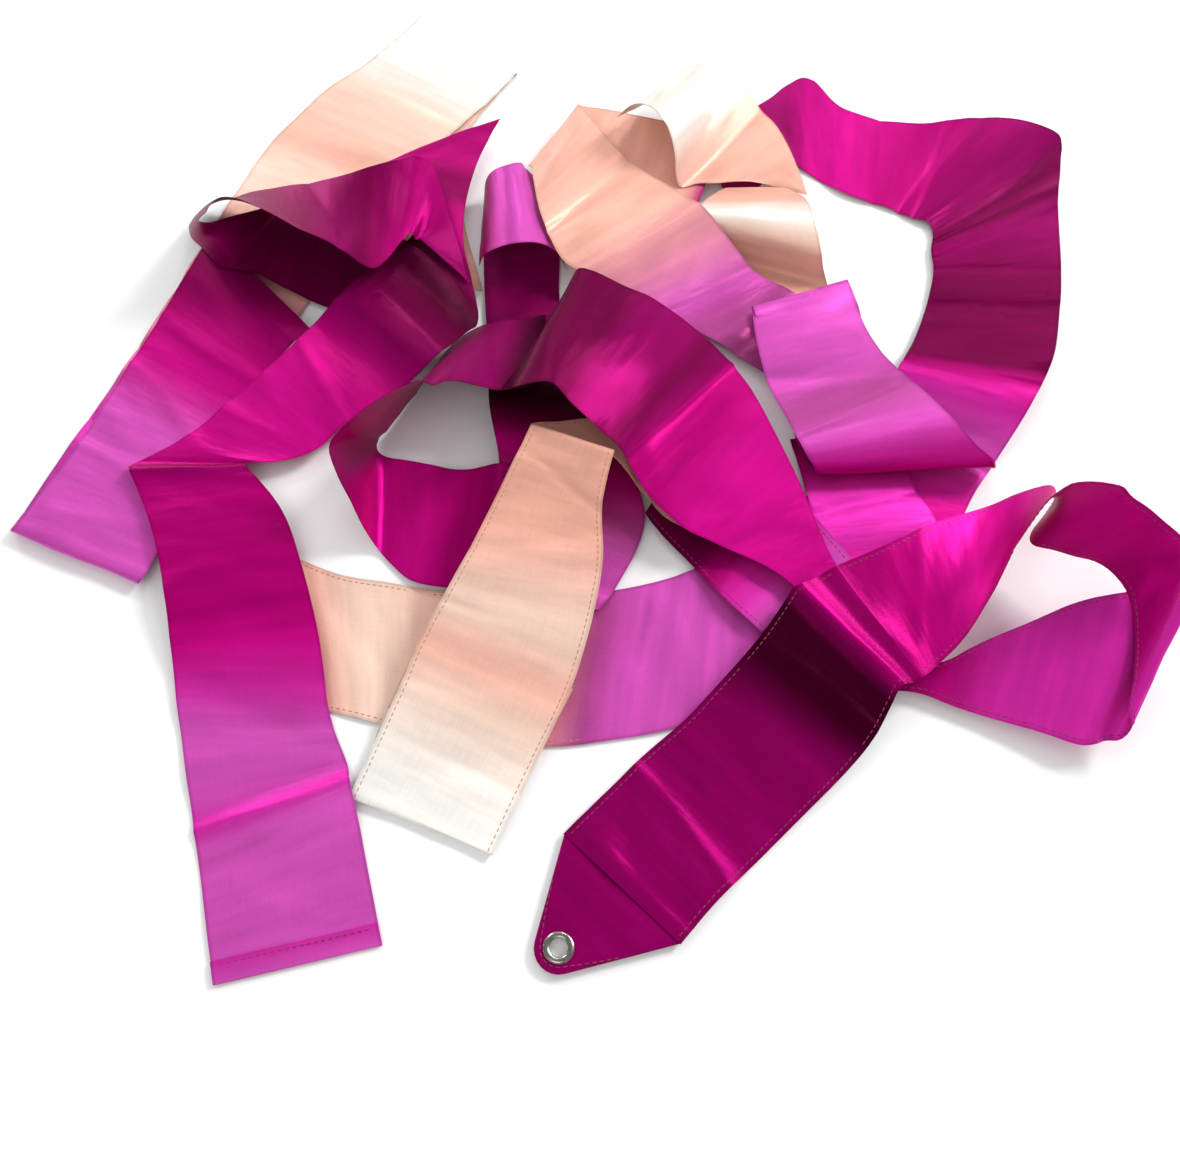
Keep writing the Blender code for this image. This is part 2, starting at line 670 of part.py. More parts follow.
def build_eyelet_tail(laid, shift, skins, parts):
    """The doubled end that clips to a stick: two links, the stitched point and its eyelet."""
    left, right, way_points = laid["s1"]
    crease = way_points[EYELET_LINK_RUNG]
    upper = pulled_back(left[crease:], right[crease:], HINGE_GAP / 2, at_start=True)
    upper = pulled_back(*upper, HINGE_GAP / 2, at_start=False)
    lower = pulled_back(left[:crease + 1], right[:crease + 1], HINGE_GAP / 2, at_start=False)
    build_link("upper", *upper, skins, parts)
    holder = build_link("lower", *lower, skins, parts)
    eyelet = np.array([*EYELET_AT, 0.0]) * MM + shift
    eyelet[2] = (left[0][2] + right[0][2]) / 2
    back = lower[0][0] - lower[0][1], lower[1][0] - lower[1][1]
    shoulders = []
    for edge, way in zip(lower, back):
        shoulders.append(edge[0] + way / np.linalg.norm(way) * 2 * THREAD_GAP)
    outline = tangent_outline(*shoulders, eyelet)
    barrel = EYELET_BORE + EYELET_WALL
    layer = CLOTH + LINING_GAP
    for name, z in (("folded_tip", eyelet[2]), ("folded_tip_back", eyelet[2] - layer)):
        flat_plate(name, outline, eyelet, barrel + THREAD_GAP, z, CLOTH, skins["plum"], parts, holder)
    top = CLOTH / 2 + THREAD_GAP
    bottom = -layer - CLOTH / 2 - THREAD_GAP
    turned("eyelet_barrel", [(EYELET_BORE, top + EYELET_FLANGE), (EYELET_OUTER, top + EYELET_FLANGE),
                             (EYELET_OUTER, top), (barrel, top), (barrel, bottom - EYELET_FLANGE),
                             (EYELET_BORE, bottom - EYELET_FLANGE)], eyelet, skins["steel"], parts, holder)
    inner = barrel + THREAD_GAP
    washer = [(inner, bottom), (EYELET_OUTER, bottom), (EYELET_OUTER, bottom - EYELET_FLANGE),
              (inner, bottom - EYELET_FLANGE)]
    turned("eyelet_washer", washer, eyelet, skins["steel"], parts, holder)
    stitch_point(outline, eyelet, skins["thread"], parts, holder)


def stitch_point(outline, eyelet, skin, parts, holder):
    """A line of thread that runs round the point just inside its edge."""
    middle = sum(outline[:2]) / 2
    heart = (middle + eyelet[:2]) / 2
    z = eyelet[2] + CLOTH / 2 + THREAD_GAP + THREAD_RADIUS
    loop = []
    for place in [outline[1], *outline[2:], outline[0]]:
        way = heart - place
        inner = place + way / np.linalg.norm(way) * THREAD_INSET
        loop.append((inner[0], inner[1], z))
    thread("stitch_point", loop, skin, parts, holder)


def build_hem_tail(laid, skins, parts):
    """The far end: two links that bend at a storage crease, with a sewn hem."""
    left, right, way_points = laid["s_h"]
    crease = way_points[HEM_LINK_RUNG]
    upper = pulled_back(left[:crease + 1], right[:crease + 1], HINGE_GAP / 2, at_start=True)
    upper = pulled_back(*upper, HINGE_GAP / 2, at_start=False)
    lower = pulled_back(left[crease:], right[crease:], HINGE_GAP / 2, at_start=True)
    for which, edges, skin in (("upper", upper, skins["magenta"]), ("lower", lower, skins["orchid"])):
        holder = empty("hem_tail_" + which + "_hinge", (edges[0][0] + edges[1][0]) / 2, parts)
        strip_sheet("hem_tail_" + which, *edges, skin, parts, holder)
    end_left, end_right = lower[0][-1], lower[1][-1]
    back = (lower[0][-2] + lower[1][-2] - end_left - end_right) / 2
    back = back / np.linalg.norm(back) * HEM_DEPTH
    raise_hem = np.array([0, 0, CLOTH + LINING_GAP])
    strip_sheet("hem_turn", np.array([end_left + back, end_left]) + raise_hem,
                np.array([end_right + back, end_right]) + raise_hem, skins["orchid"], parts, holder)
    across = end_right - end_left
    rise = raise_hem + np.array([0, 0, CLOTH / 2 + THREAD_GAP + THREAD_RADIUS])
    line = [end_left + back * HEM_SEAM + across * share + rise for share in (0.03, 0.35, 0.65, 0.97)]
    thread("hem_stitch", line, skins["thread"], parts, holder)


def main():
    clear_scene()
    parts = bpy.data.collections.new("rhythmic_ribbon")
    bpy.context.scene.collection.children.link(parts)
    skins = {name: material("satin_" + name, colour, 0.35) for name, colour in COLOURS.items()}
    skins["thread"] = material("thread", (0.45, 0.02, 0.16), 0.6)
    skins["steel"] = material("steel", (0.75, 0.73, 0.68), 0.25, 1.0)
    laid, shift = lay_runs()
    build_heap(laid, skins, parts)
    build_eyelet_tail(laid, shift, skins, parts)
    build_hem_tail(laid, skins, parts)


main()
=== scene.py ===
"""Looks for a rhythmic gymnastics ribbon in a loose heap.

Each cloth solid of the frame is a thin sheet. Here its two edges are read back from the mesh, and a
finer satin strip is drawn between them, with its own colour run, weave, stitching and soft waves.
"""

import math

import bmesh
import bpy
import numpy as np
from mathutils import Matrix, Vector, noise


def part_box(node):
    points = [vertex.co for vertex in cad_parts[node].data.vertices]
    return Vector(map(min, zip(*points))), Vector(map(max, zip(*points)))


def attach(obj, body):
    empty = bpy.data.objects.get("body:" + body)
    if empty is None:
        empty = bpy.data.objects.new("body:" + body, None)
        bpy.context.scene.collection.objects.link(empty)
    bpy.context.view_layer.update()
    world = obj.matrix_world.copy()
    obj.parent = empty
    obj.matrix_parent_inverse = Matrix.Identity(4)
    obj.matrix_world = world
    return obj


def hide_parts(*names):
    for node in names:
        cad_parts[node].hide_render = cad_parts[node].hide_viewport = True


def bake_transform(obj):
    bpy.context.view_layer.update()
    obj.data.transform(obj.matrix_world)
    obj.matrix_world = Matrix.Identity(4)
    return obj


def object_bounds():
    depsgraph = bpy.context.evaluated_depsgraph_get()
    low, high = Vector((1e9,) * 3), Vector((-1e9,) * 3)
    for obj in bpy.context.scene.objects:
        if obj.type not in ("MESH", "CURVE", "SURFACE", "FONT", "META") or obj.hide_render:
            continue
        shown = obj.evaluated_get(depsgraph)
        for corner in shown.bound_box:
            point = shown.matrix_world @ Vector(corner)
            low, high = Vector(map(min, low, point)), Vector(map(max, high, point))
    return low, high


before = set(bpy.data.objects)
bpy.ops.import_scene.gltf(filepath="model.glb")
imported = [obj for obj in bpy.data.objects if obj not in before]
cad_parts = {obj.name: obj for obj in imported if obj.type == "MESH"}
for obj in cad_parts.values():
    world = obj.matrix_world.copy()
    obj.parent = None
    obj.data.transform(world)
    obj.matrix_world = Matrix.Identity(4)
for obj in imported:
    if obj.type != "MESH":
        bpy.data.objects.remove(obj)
CAD_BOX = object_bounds()

# ---- driving sizes, metres --------------------------------------------------------------------
STRIP_WIDTH = 0.050        # a ribbon's width
CLOTH = 0.00022            # drawn thickness of one layer of satin
SELVEDGE = 0.0012          # woven border along each edge
ALONG_STEP = 0.0016        # spacing of drawn rungs
ACROSS = 24                # faces across the strip
STANDING_COST = 3 * STRIP_WIDTH        # keeps an edge from standing still without need
FAN_SHARE = 0.5            # a rung counts for this much of its longer edge where the strip fans out
WAVE = 0.0010              # height of the soft waves in the cloth
LONG_SHARE = 0.9           # shares of that height in the long waves and the shorter, slanting ones
SLANT_SHARE = 0.45
LONG_SIZE = (0.026, 0.045)             # sizes along and across the strip
SLANT_SIZE = (0.011, 0.030)
SLANT = 0.6                # how far the short waves lean, as a share of the distance across
CREST = 0.0007             # height of the soft creases that cross the strip
CREST_SIZE = (0.030, 0.110)
CREST_SLANT = 0.15
CREST_SHARPNESS = 9
WEAVE = 0.00042            # one repeat of the twill
NEEDLE_PITCH = 0.0021      # one stitch and its gap
STITCH_LENGTH = 0.0015
STITCH_RADIUS = 0.00019
STITCH_INSET = 0.0017
LOOP_START = 0.0140        # from a crease to where the piece drawn over the crease ends and the next one starts
POINT_PUFF = 0.0003        # fullness of the stitched point
POINT_GRAIN = 0.006        # size of its uneven patches
POINT_PATCHES = 0.35       # and how uneven they are
SHOULDER_LAP = 0.0012      # how far the point runs on under the tail
SHOULDER_RUNGS = 12        # drawn rungs that give the point its direction
SHOULDER_SEAM = 2          # the rung that the shoulder's seam follows
SEAM_MARGIN = 3            # how many points short of each edge it stops
POINT_TURNS = 120          # places round the point
POINT_RINGS = 14           # and from the eyelet to its rim
RIM = 0.97                 # where its darker rim starts, as a share of the way out
SEAM_GAP = 0.9             # half angle that the point's seam leaves open at the shoulder, radians
SEAM_STEPS = 140
EYELET_BORE = 0.0026       # radius of the eyelet's throat
EYELET_HOLE = 0.0032       # radius of the hole in the cloth, hidden under the flange
EYELET_CROWN = 0.0006      # height of the eyelet's rounded rim
FLANGE = 0.0003            # thickness of its metal
ROLLED_SHARE = 0.8         # width of the ring pressed behind, as a share of the flange's
EYELET_TURNS = 64          # places round it
CROWN_STEPS = 13           # points over its rounded front
ROLL_STEPS = 9             # and over the ring behind
HEM_SEAM = 0.2             # the hem's seam, as a share of the hem's depth
HEM_STITCH_RISE = 0.0001   # how far these stitches stand above the cloth
LINE_STEPS = 60            # points along a straight line of stitches
FLOOR_SIZE = 12.0
FLOOR_DROP = 0.0004        # keeps the floor clear of the lowest cloth
SLANT_SEED = 7.3           # sets the slanting waves apart from the long ones
CREST_SEED = 3.1
SEED_STEP = 3.1            # sets each stretch's waves apart from the next one's
EYELET_SEED = 40.0
HEM_SEED = 60.0

# ---- colours, linear -----------------------------------------------------------------------------
SELVEDGE_SHADE = 0.8       # the woven border is this much darker
LUSTRE_GAIN = 1.9          # the shine takes the colour of the dye and its painted light, brightened
LUSTRE_WHITE = 0.02
LUSTRE_DEEP = 0.34         # how metallic the shine of the deep colours looks
LUSTRE_PALE = 0.06         # and that of the pale ones
LUSTRE_RANGE = (0.02, 0.5)             # green in the dye and painted light, where deep ends and pale starts
GLOSS_DEEP = 0.22          # how strongly the deep colours mirror the lights
GLOSS_PALE = 0.6
GLOSS_RANGE = (0.05, 0.5)
SINGLE_ROUGHNESS = 0.3
DOUBLED_ROUGHNESS = 0.34   # the doubled end is a little duller
ROUGHNESS_SPREAD = 0.02    # what the slubs add or take away
RED_THREAD = ((0.11, 0.0, 0.02), (0.34, 0.004, 0.07))      # painted shade and painted light on the two sides of each twist
TAN_THREAD = ((0.46, 0.17, 0.11), (0.70, 0.33, 0.24))
NICKEL = ((0.62, 0.59, 0.52, 1.0), (0.86, 0.84, 0.79, 1.0))    # worn and bright
FLOOR_WHITE = (0.93, 0.93, 0.93, 1.0)
# painted shadow: a near-black plum put where a stretch lies in deep shade
DEEP_SHADOW = (0.05, 0.0, 0.014)
# a deep plum: partly the ribbon's own deep tone and partly painted shade where a stretch lies in shade
WINE = (0.17, 0.0004, 0.055)
PLUM = (0.29, 0.001, 0.112)
MAGENTA = (0.47, 0.001, 0.17)
PINK = (0.65, 0.004, 0.26)
FUCHSIA = (0.71, 0.026, 0.40)
ORCHID = (0.69, 0.09, 0.50)
# painted shade: orchid darkened where a stretch bends away from the light
SHADED_ORCHID = (0.46, 0.07, 0.28)
ROSE = (0.82, 0.28, 0.38)
# painted shade: a darker peach for the peach roll's far slope and crevice and for the tongue below its
# fold
SHADED_PEACH = (0.74, 0.37, 0.28)
PEACH = (0.90, 0.46, 0.36)
CREAM = (0.93, 0.67, 0.55)
# painted shade: a greyed white for the shaded inner side and top of the white hoop
SHADED_WHITE = (0.80, 0.76, 0.69)
WHITE = (0.94, 0.92, 0.86)

# Each sheet: the side its first rung is on, and its colours from the first rung to the last. The runs hold
# painted light as well as dye: darker stops are painted shade where a stretch lies in shade or turns away,
# and brighter stops are painted highlights where it catches the light.
SHEETS = {
    "strip_far_stretch": ((1, 0), [
        (0, PEACH), (0.2, CREAM), (0.25, WHITE), (0.3, WHITE), (0.34, CREAM), (0.41, PEACH),
        (0.44, CREAM), (0.5, PEACH), (0.6, ROSE), (0.68, FUCHSIA), (0.76, ORCHID), (0.87, ORCHID),
        (0.91, PINK), (0.95, MAGENTA), (1, WINE)]),
    "strip_right_loop": ((0, 1), [
        (0, MAGENTA), (0.12, PLUM), (0.16, PINK), (0.23, PINK), (0.29, MAGENTA), (0.4, PLUM),
        (0.47, WINE), (0.5, PLUM), (0.58, WINE), (0.66, WINE), (0.71, WINE), (0.725, PINK),
        (0.755, FUCHSIA), (0.8, ORCHID), (0.86, FUCHSIA), (0.9, PINK), (1, MAGENTA)]),
    "strip_inner_turn": ((0, 1), [
        (0, WINE), (0.25, MAGENTA), (0.4, FUCHSIA), (0.7, FUCHSIA), (1, PINK)]),
    "strip_lower_band": ((-1, 0), [
        (0, PEACH), (0.12, CREAM), (0.4, PEACH), (0.5, ROSE), (0.56, SHADED_ORCHID), (0.62, ORCHID),
        (0.9, ORCHID), (1, FUCHSIA)]),
    "strip_under_tongue": ((0, 1), [
        (0, PLUM), (0.3, WINE), (0.5, DEEP_SHADOW), (0.6, WINE), (0.7, MAGENTA), (0.8, SHADED_ORCHID),
        (0.86, ORCHID), (1, ORCHID)]),
    "strip_left_sweep": ((0, -1), [
        (0, PLUM), (0.2, MAGENTA), (0.27, PINK), (0.34, PINK), (0.42, MAGENTA), (0.49, PLUM),
        (0.54, MAGENTA), (0.6, MAGENTA), (0.72, PLUM), (0.9, PLUM), (1, DEEP_SHADOW)]),
    # painted shade: plum at the start, for the hoop's back in shade
    "strip_orchid_hoop": ((-1, 0), [
        (0, PLUM), (0.22, PLUM), (0.34, ORCHID), (0.7, ORCHID), (1, FUCHSIA)]),
    # painted shade: the crossing darkens towards its end, where it runs in deep shade under its neighbours
    "strip_crossing": ((1, 0), [
        (0, ORCHID), (0.2, FUCHSIA), (0.4, MAGENTA), (0.6, WINE), (1, WINE)]),
    "strip_peach_cone": ((0, 1), [
        (0, MAGENTA), (0.04, PEACH), (0.6, PEACH), (0.7, ROSE), (0.8, ORCHID), (0.86, SHADED_ORCHID),
        (1, SHADED_ORCHID)]),
    # painted highlight: a white band over the roll's crest; painted shade: darker peach on its far and
    # lower slopes
    "strip_peach_roll": ((0, 1), [
        (0, SHADED_PEACH), (0.2, PEACH), (0.34, WHITE), (0.46, CREAM), (0.56, PEACH), (0.8, SHADED_PEACH),
        (1, SHADED_PEACH)]),
    # painted shade: greyed white on the hoop's inner side and top
    "strip_white_hoop": ((-1, 0), [
        (0, SHADED_WHITE), (0.26, SHADED_WHITE), (0.34, WHITE), (0.4, WHITE), (0.48, CREAM), (0.56, PEACH),
        (1, PEACH)]),
    "strip_hem_side": ((-1, 0), [
        (0, MAGENTA), (0.08, PINK), (0.26, PINK), (0.34, MAGENTA), (0.42, PLUM), (0.5, WINE),
        (0.58, DEEP_SHADOW), (0.66, WINE), (0.74, MAGENTA), (0.82, MAGENTA), (0.87, WINE), (0.93, MAGENTA),
        (1, MAGENTA)]),
    # painted shade on the curl's dark stretches, and a lighter painted highlight between them
    "strip_big_curl": ((1, 0), [
        (0, PLUM), (0.17, MAGENTA), (0.24, WINE), (0.3, PLUM), (0.42, PLUM), (0.52, WINE),
        (0.6, PLUM), (0.68, WINE), (1, WINE)]),
    "strip_middle_band": ((-1, 0), [
        (0, DEEP_SHADOW), (0.09, WINE), (0.17, WINE), (0.24, PLUM), (0.3, PLUM), (0.36, WINE), (0.41, PLUM),
        (0.43, MAGENTA), (0.5, MAGENTA), (0.6, PINK), (0.8, PINK), (1, MAGENTA)]),
    "strip_orchid_flap": ((0, 1), [
        (0, ORCHID), (0.44, ORCHID), (0.54, SHADED_ORCHID), (0.64, ORCHID), (0.7, FUCHSIA), (0.74, MAGENTA),
        (1, MAGENTA)]),
    # painted shade: darker peach just below the tongue's top fold
    "strip_tongue": ((1, 0), [
        (0, PEACH), (0.2, SHADED_PEACH), (0.34, SHADED_PEACH), (0.42, PEACH), (0.52, CREAM), (0.58, PEACH),
        (0.64, CREAM), (0.74, WHITE), (0.84, WHITE), (1, PEACH)]),
    "strip_eyelet_side": ((0, 1), [
        (0, MAGENTA), (0.03, PLUM), (0.08, MAGENTA), (0.2, PINK), (0.3, PINK), (0.36, MAGENTA),
        (0.6, MAGENTA), (0.64, FUCHSIA), (0.76, FUCHSIA), (0.86, FUCHSIA), (0.94, MAGENTA),
        (1, PLUM)]),
    # painted shadow: the upper tail goes near black beside the ridge, where the loop shades it
    "eyelet_tail_upper": ((-1, 0), [(0, PLUM), (0.2, PLUM), (0.55, DEEP_SHADOW), (0.95, DEEP_SHADOW), (1, PLUM)]),
    "eyelet_tail_lower": ((-1, 0), [(0, PLUM), (1, PLUM)]),
    # painted shade at the crease by the hem, then a painted highlight band
    "hem_tail_upper": ((0, -1), [
        (0, FUCHSIA), (0.06, ORCHID), (0.2, ORCHID), (0.3, FUCHSIA), (0.42, PINK), (0.5, MAGENTA),
        (0.94, MAGENTA), (1, PLUM)]),
    "hem_tail_lower": ((0, -1), [(0, ORCHID), (0.92, ORCHID), (1, FUCHSIA)]),
}
SHEETS["lining_lower"] = SHEETS["eyelet_tail_lower"]
SHEETS["lining_upper"] = SHEETS["eyelet_tail_upper"]
SHEETS["hem_turn"] = SHEETS["hem_tail_lower"]

# The record's material slot of each stretch of the heap
HEAP_SLOTS = {
    "strip_far_stretch": "satin_peach",
    "strip_right_loop": "satin_magenta",
    "strip_inner_turn": "satin_orchid",
    "strip_lower_band": "satin_peach",
    "strip_under_tongue": "satin_magenta",
    "strip_left_sweep": "satin_magenta",
    "strip_orchid_hoop": "satin_orchid",
    "strip_crossing": "satin_orchid",
    "strip_peach_cone": "satin_peach",
    "strip_peach_roll": "satin_peach",
    "strip_white_hoop": "satin_white",
    "strip_big_curl": "satin_plum",
    "strip_middle_band": "satin_magenta",
    "strip_orchid_flap": "satin_orchid",
    "strip_tongue": "satin_peach",
}

# Stretches with sewn edges: from and to, as shares of the stretch
SEWN = {"strip_tongue": (0.0, 1.0), "strip_lower_band": (0.0, 0.58), "strip_crossing": (0.0, 1.0)}

# Pressed creases: where each meets the left and right edge, as shares of the stretch, then its height
# and half width
CREASES = {
    "strip_lower_band": [(0.62, 0.62, 0.0003, 0.0010)],
    "strip_middle_band": [(0.42, 0.42, 0.0011, 0.0018)],
    "strip_right_loop": [
        (0.31, 0.34, 0.0006, 0.0020), (0.47, 0.47, 0.0012, 0.0020), (0.55, 0.57, 0.0006, 0.0022),
        (0.61, 0.62, 0.0007, 0.0020), (0.72, 0.72, 0.0010, 0.0016)],
    "strip_peach_cone": [(0.52, 0.50, 0.0008, 0.0016)],
    "strip_tongue": [
        (0.30, 0.36, 0.0007, 0.0026), (0.44, 0.39, 0.0006, 0.0030), (0.52, 0.55, 0.0006, 0.0026),
        (0.70, 0.70, 0.0006, 0.0030)],
    "strip_orchid_flap": [(0.42, 0.50, 0.0007, 0.0030), (0.60, 0.54, 0.0006, 0.0026)],
}
# The creases that bend, or that an end comes down from: height and half width
RIDGE_CREASE = (0.0009, 0.0014)
STORAGE_CREASE = (0.0016, 0.0022)
FOLD_CREASE = (0.0006, 0.0012)

# Grain of the satin: size across and along the strip, detail, darkest and lightest shade. The glints are
# not grain: they are painted highlights and painted shade, bands across the strip in the base colour.
SLUBS = (0.0006, 0.009, 3.0, 0.96, 1.035)
CROSS_THREADS = (0.007, 0.0005, 2.0, 0.975, 1.025)
CLOUDS = (0.03, 0.02, 3.0, 0.93, 1.06)
# painted highlights and painted shade: light and dark bands across the strip
GLINTS = (0.06, 0.006, 2.0, 0.9, 1.1)
CRINKLE = (0.024, 0.0050)  # size of the fine wrinkles, across and along

# ---- studio --------------------------------------------------------------------------------------
SURROUND = 0.68            # even light from all round
SURROUND_GLOSS = 0.12      # how much of it the cloth's shine picks up
# Each light: name, place, size and power in watts
LIGHTS = (
    ("key", (1.3, 0.8, 1.1), (0.5, 0.5), 24.0),
    ("window", (-0.9, 1.3, 0.7), (0.3, 0.9), 7.0),
    ("streak", (0.3, 1.2, 1.1), (0.5, 0.10), 3.0),
    ("fill", (-0.4, -1.5, 2.0), (1.2, 1.2), 6.0),
)
VIEW_PITCH = 62.5          # how far the camera looks down, degrees
VIEW_LENS = 33.65          # millimetres, as the film's width is
FILM_WIDTH = 36.0
VIEW_DISTANCE = 0.3743
VIEW_AIM = (0.0016, -0.0819, -0.0008)  # from the middle of the heap's footprint


# ---- reading a sheet back from the frame --------------------------------------------------------
def sheet_edges(node):
    """The left and right edge of a frame sheet, as equally long lists of points.

    Every corner of a sheet has a twin on its other face, at the far end of its shortest edge. Twins are
    folded into one point. The strip of triangles on one face is then walked from one end to the other.
    """
    mesh = bmesh.new()
    mesh.from_mesh(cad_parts[node].data)
    bmesh.ops.remove_doubles(mesh, verts=mesh.verts, dist=1e-6)
    mesh.verts.index_update()
    place, number = {}, {}
    for vertex in mesh.verts:
        shortest = min(vertex.link_edges, key=lambda edge: edge.calc_length())
        twin = shortest.other_vert(vertex)
        number[vertex] = min(vertex.index, twin.index)
        place[number[vertex]] = np.array((vertex.co + twin.co) / 2)

    def corners(face):
        return frozenset(number[vertex] for vertex in face.verts)

    waiting = [next(face for face in mesh.faces if len(corners(face)) == 3)]
    one_side = set(waiting)
    while waiting:
        for edge in waiting.pop().edges:
            for face in edge.link_faces:
                if len(corners(face)) == 3 and face not in one_side:
                    one_side.add(face)
                    waiting.append(face)
    triangles = {corners(face) for face in one_side}
    mesh.free()
    return walk(triangles, place)


def walk(triangles, place):
    """Both edges of a strip of triangles, as lists of points that pair up rung by rung."""
    owners = {}
    for triangle in triangles:
        for corner in triangle:
            owners.setdefault(triangle - {corner}, []).append(triangle)

    def length(edge):
        a, b = (place[index] for index in edge)
        return np.linalg.norm(a - b)

    def free(triangle):
        return [triangle - {corner} for corner in triangle if len(owners[triangle - {corner}]) == 1]

    ends = sorted((triangle for triangle in triangles if len(free(triangle)) == 2), key=sorted)
    triangle = ends[0]
    front = max(free(triangle), key=length)
    a, b = sorted(front)
    fronts = [(a, b)]
    for _ in range(len(triangles)):
        new = next(iter(triangle - front))
        steps = []
        for pair in ((new, b), (a, new)):
            beyond = [owner for owner in owners[frozenset(pair)] if owner != triangle]
            steps.append((pair, beyond))
        pair, beyond = max(steps, key=lambda step: (len(step[1]), length(step[0])))
        a, b = pair
        fronts.append(pair)
        if not beyond:
            break
        triangle, front = beyond[0], frozenset(pair)
    return pair_up(fronts, place)


def pair_up(fronts, place):
    """The rungs among the fronts, chosen for least total length.

    They are two steps apart, or one where an edge stands still.
    """
    points = [(np.array(place[a]), np.array(place[b])) for a, b in fronts]
    lengths = [np.linalg.norm(a - b) for a, b in points]
    best = [(lengths[0], None)]
    for index in range(1, len(fronts)):
        options = [(best[index - 1][0] + lengths[index] + STANDING_COST, index - 1)]
        if index > 1 and all(x != y for x, y in zip(fronts[index], fronts[index - 2])):
            options.append((best[index - 2][0] + lengths[index], index - 2))
        best.append(min(options))
    index, rungs = len(fronts) - 1, []
    while index is not None:
        rungs.append(points[index])
        index = best[index][1]
    return np.array([a for a, _ in rungs]), np.array([b for _, b in rungs])


# ---- paths: one or more sheets end to end --------------------------------------------------------
class Path:
    """A strip's two edges, drawn through one or more sheets, with the distance and colour at each rung."""

    def __init__(self, *nodes):
        left, right, colours = np.zeros((0, 3)), np.zeros((0, 3)), []
        for node in nodes:
            way, stops = SHEETS[node]
            first, second = sheet_edges(node)
            middle = (first + second) / 2
            if (middle[-1] - middle[0])[:2] @ way > 0:
                first, second = first[::-1], second[::-1]
            if len(left) and np.linalg.norm(left[-1] - first[0]) > np.linalg.norm(left[-1] - second[0]):
                first, second = second, first
            share = distances(first, second)
            share = share / share[-1]
            colours += [mix(stops, value) for value in share]
            left, right = np.vstack([left, first]), np.vstack([right, second])
        at = distances(left, right)
        self.length = at[-1]
        self.at = np.linspace(0, self.length, int(self.length / ALONG_STEP) + 1)
        self.left = smooth_through(at, left, self.at)
        self.right = smooth_through(at, right, self.at)
        colours = np.array(colours)
        self.colour = np.stack([np.interp(self.at, at, colours[:, i]) for i in range(3)], axis=1)

    def face(self):
        """Unit vectors square to the cloth, one at each rung."""
        along = np.gradient((self.left + self.right) / 2, axis=0)
        out = np.cross(self.right - self.left, along)
        return out / np.linalg.norm(out, axis=1)[:, None]


def step_lengths(points):
    return np.linalg.norm(np.diff(points, axis=0), axis=1)


def distances(left, right):
    """Distance along the strip at each rung, at least a share of the way that the longer edge goes."""
    middle = step_lengths((left + right) / 2)
    edges = np.maximum(step_lengths(left), step_lengths(right))
    return np.concatenate([[0.0], np.cumsum(np.maximum(middle, FAN_SHARE * edges))])


def mix(stops, share):
    """The colour at a share of a stretch, between its colour stops."""
    places = [place for place, _ in stops]
    return [np.interp(share, places, [colour[i] for _, colour in stops]) for i in range(3)]


def smooth_through(knots, points, at):
    """A smooth curve through points, with centred tangents."""
    secant = np.diff(points, axis=0) / np.diff(knots)[:, None]
    slopes = np.vstack([secant[:1], secant[1:], secant[-1:]])
    for i in range(1, len(knots) - 1):
        before, after = knots[i] - knots[i - 1], knots[i + 1] - knots[i]
        slopes[i] = (secant[i - 1] * after + secant[i] * before) / (before + after)
    cell = np.clip(np.searchsorted(knots, at, side="right") - 1, 0, len(knots) - 2)
    span = np.diff(knots)[cell]
    t = ((at - knots[cell]) / span)[:, None]
    span = span[:, None]
    return ((2 * t**3 - 3 * t**2 + 1) * points[cell] + (t**3 - 2 * t**2 + t) * span * slopes[cell]
            + (3 * t**2 - 2 * t**3) * points[cell + 1] + (t**3 - t**2) * span * slopes[cell + 1])


# ---- cloth ---------------------------------------------------------------------------------------
def column_shares():
    """Places across the strip, closer together at the two selvedges."""
    inner = np.linspace(SELVEDGE / STRIP_WIDTH, 1 - SELVEDGE / STRIP_WIDTH, ACROSS - 3)
    return np.concatenate([[0, SELVEDGE / STRIP_WIDTH / 2], inner, [1 - SELVEDGE / STRIP_WIDTH / 2, 1]])


def ripple(distance, across, seed):
    """Height of the cloth above its plain sheet: long soft waves and finer creases."""
    def wave(size_along, size_across, slant, offset):
        place = ((distance + slant * across) / size_along, across / size_across, seed + offset)
        return noise.noise(Vector(place))

    waves = LONG_SHARE * wave(*LONG_SIZE, 0.0, 0.0) + SLANT_SHARE * wave(*SLANT_SIZE, SLANT, SLANT_SEED)
    crest = (1 - abs(wave(*CREST_SIZE, CREST_SLANT, CREST_SEED))) ** CREST_SHARPNESS
    return WAVE * waves + CREST * crest


def pressed(distance, share, creases):
    """Height of the sharp creases, each given as (at left edge, at right edge, height, half width)."""
    height = 0.0
    for at_left, at_right, rise, width in creases:
        away = abs(distance - at_left - (at_right - at_left) * share)
        height += rise * math.exp(-away / width)
    return height


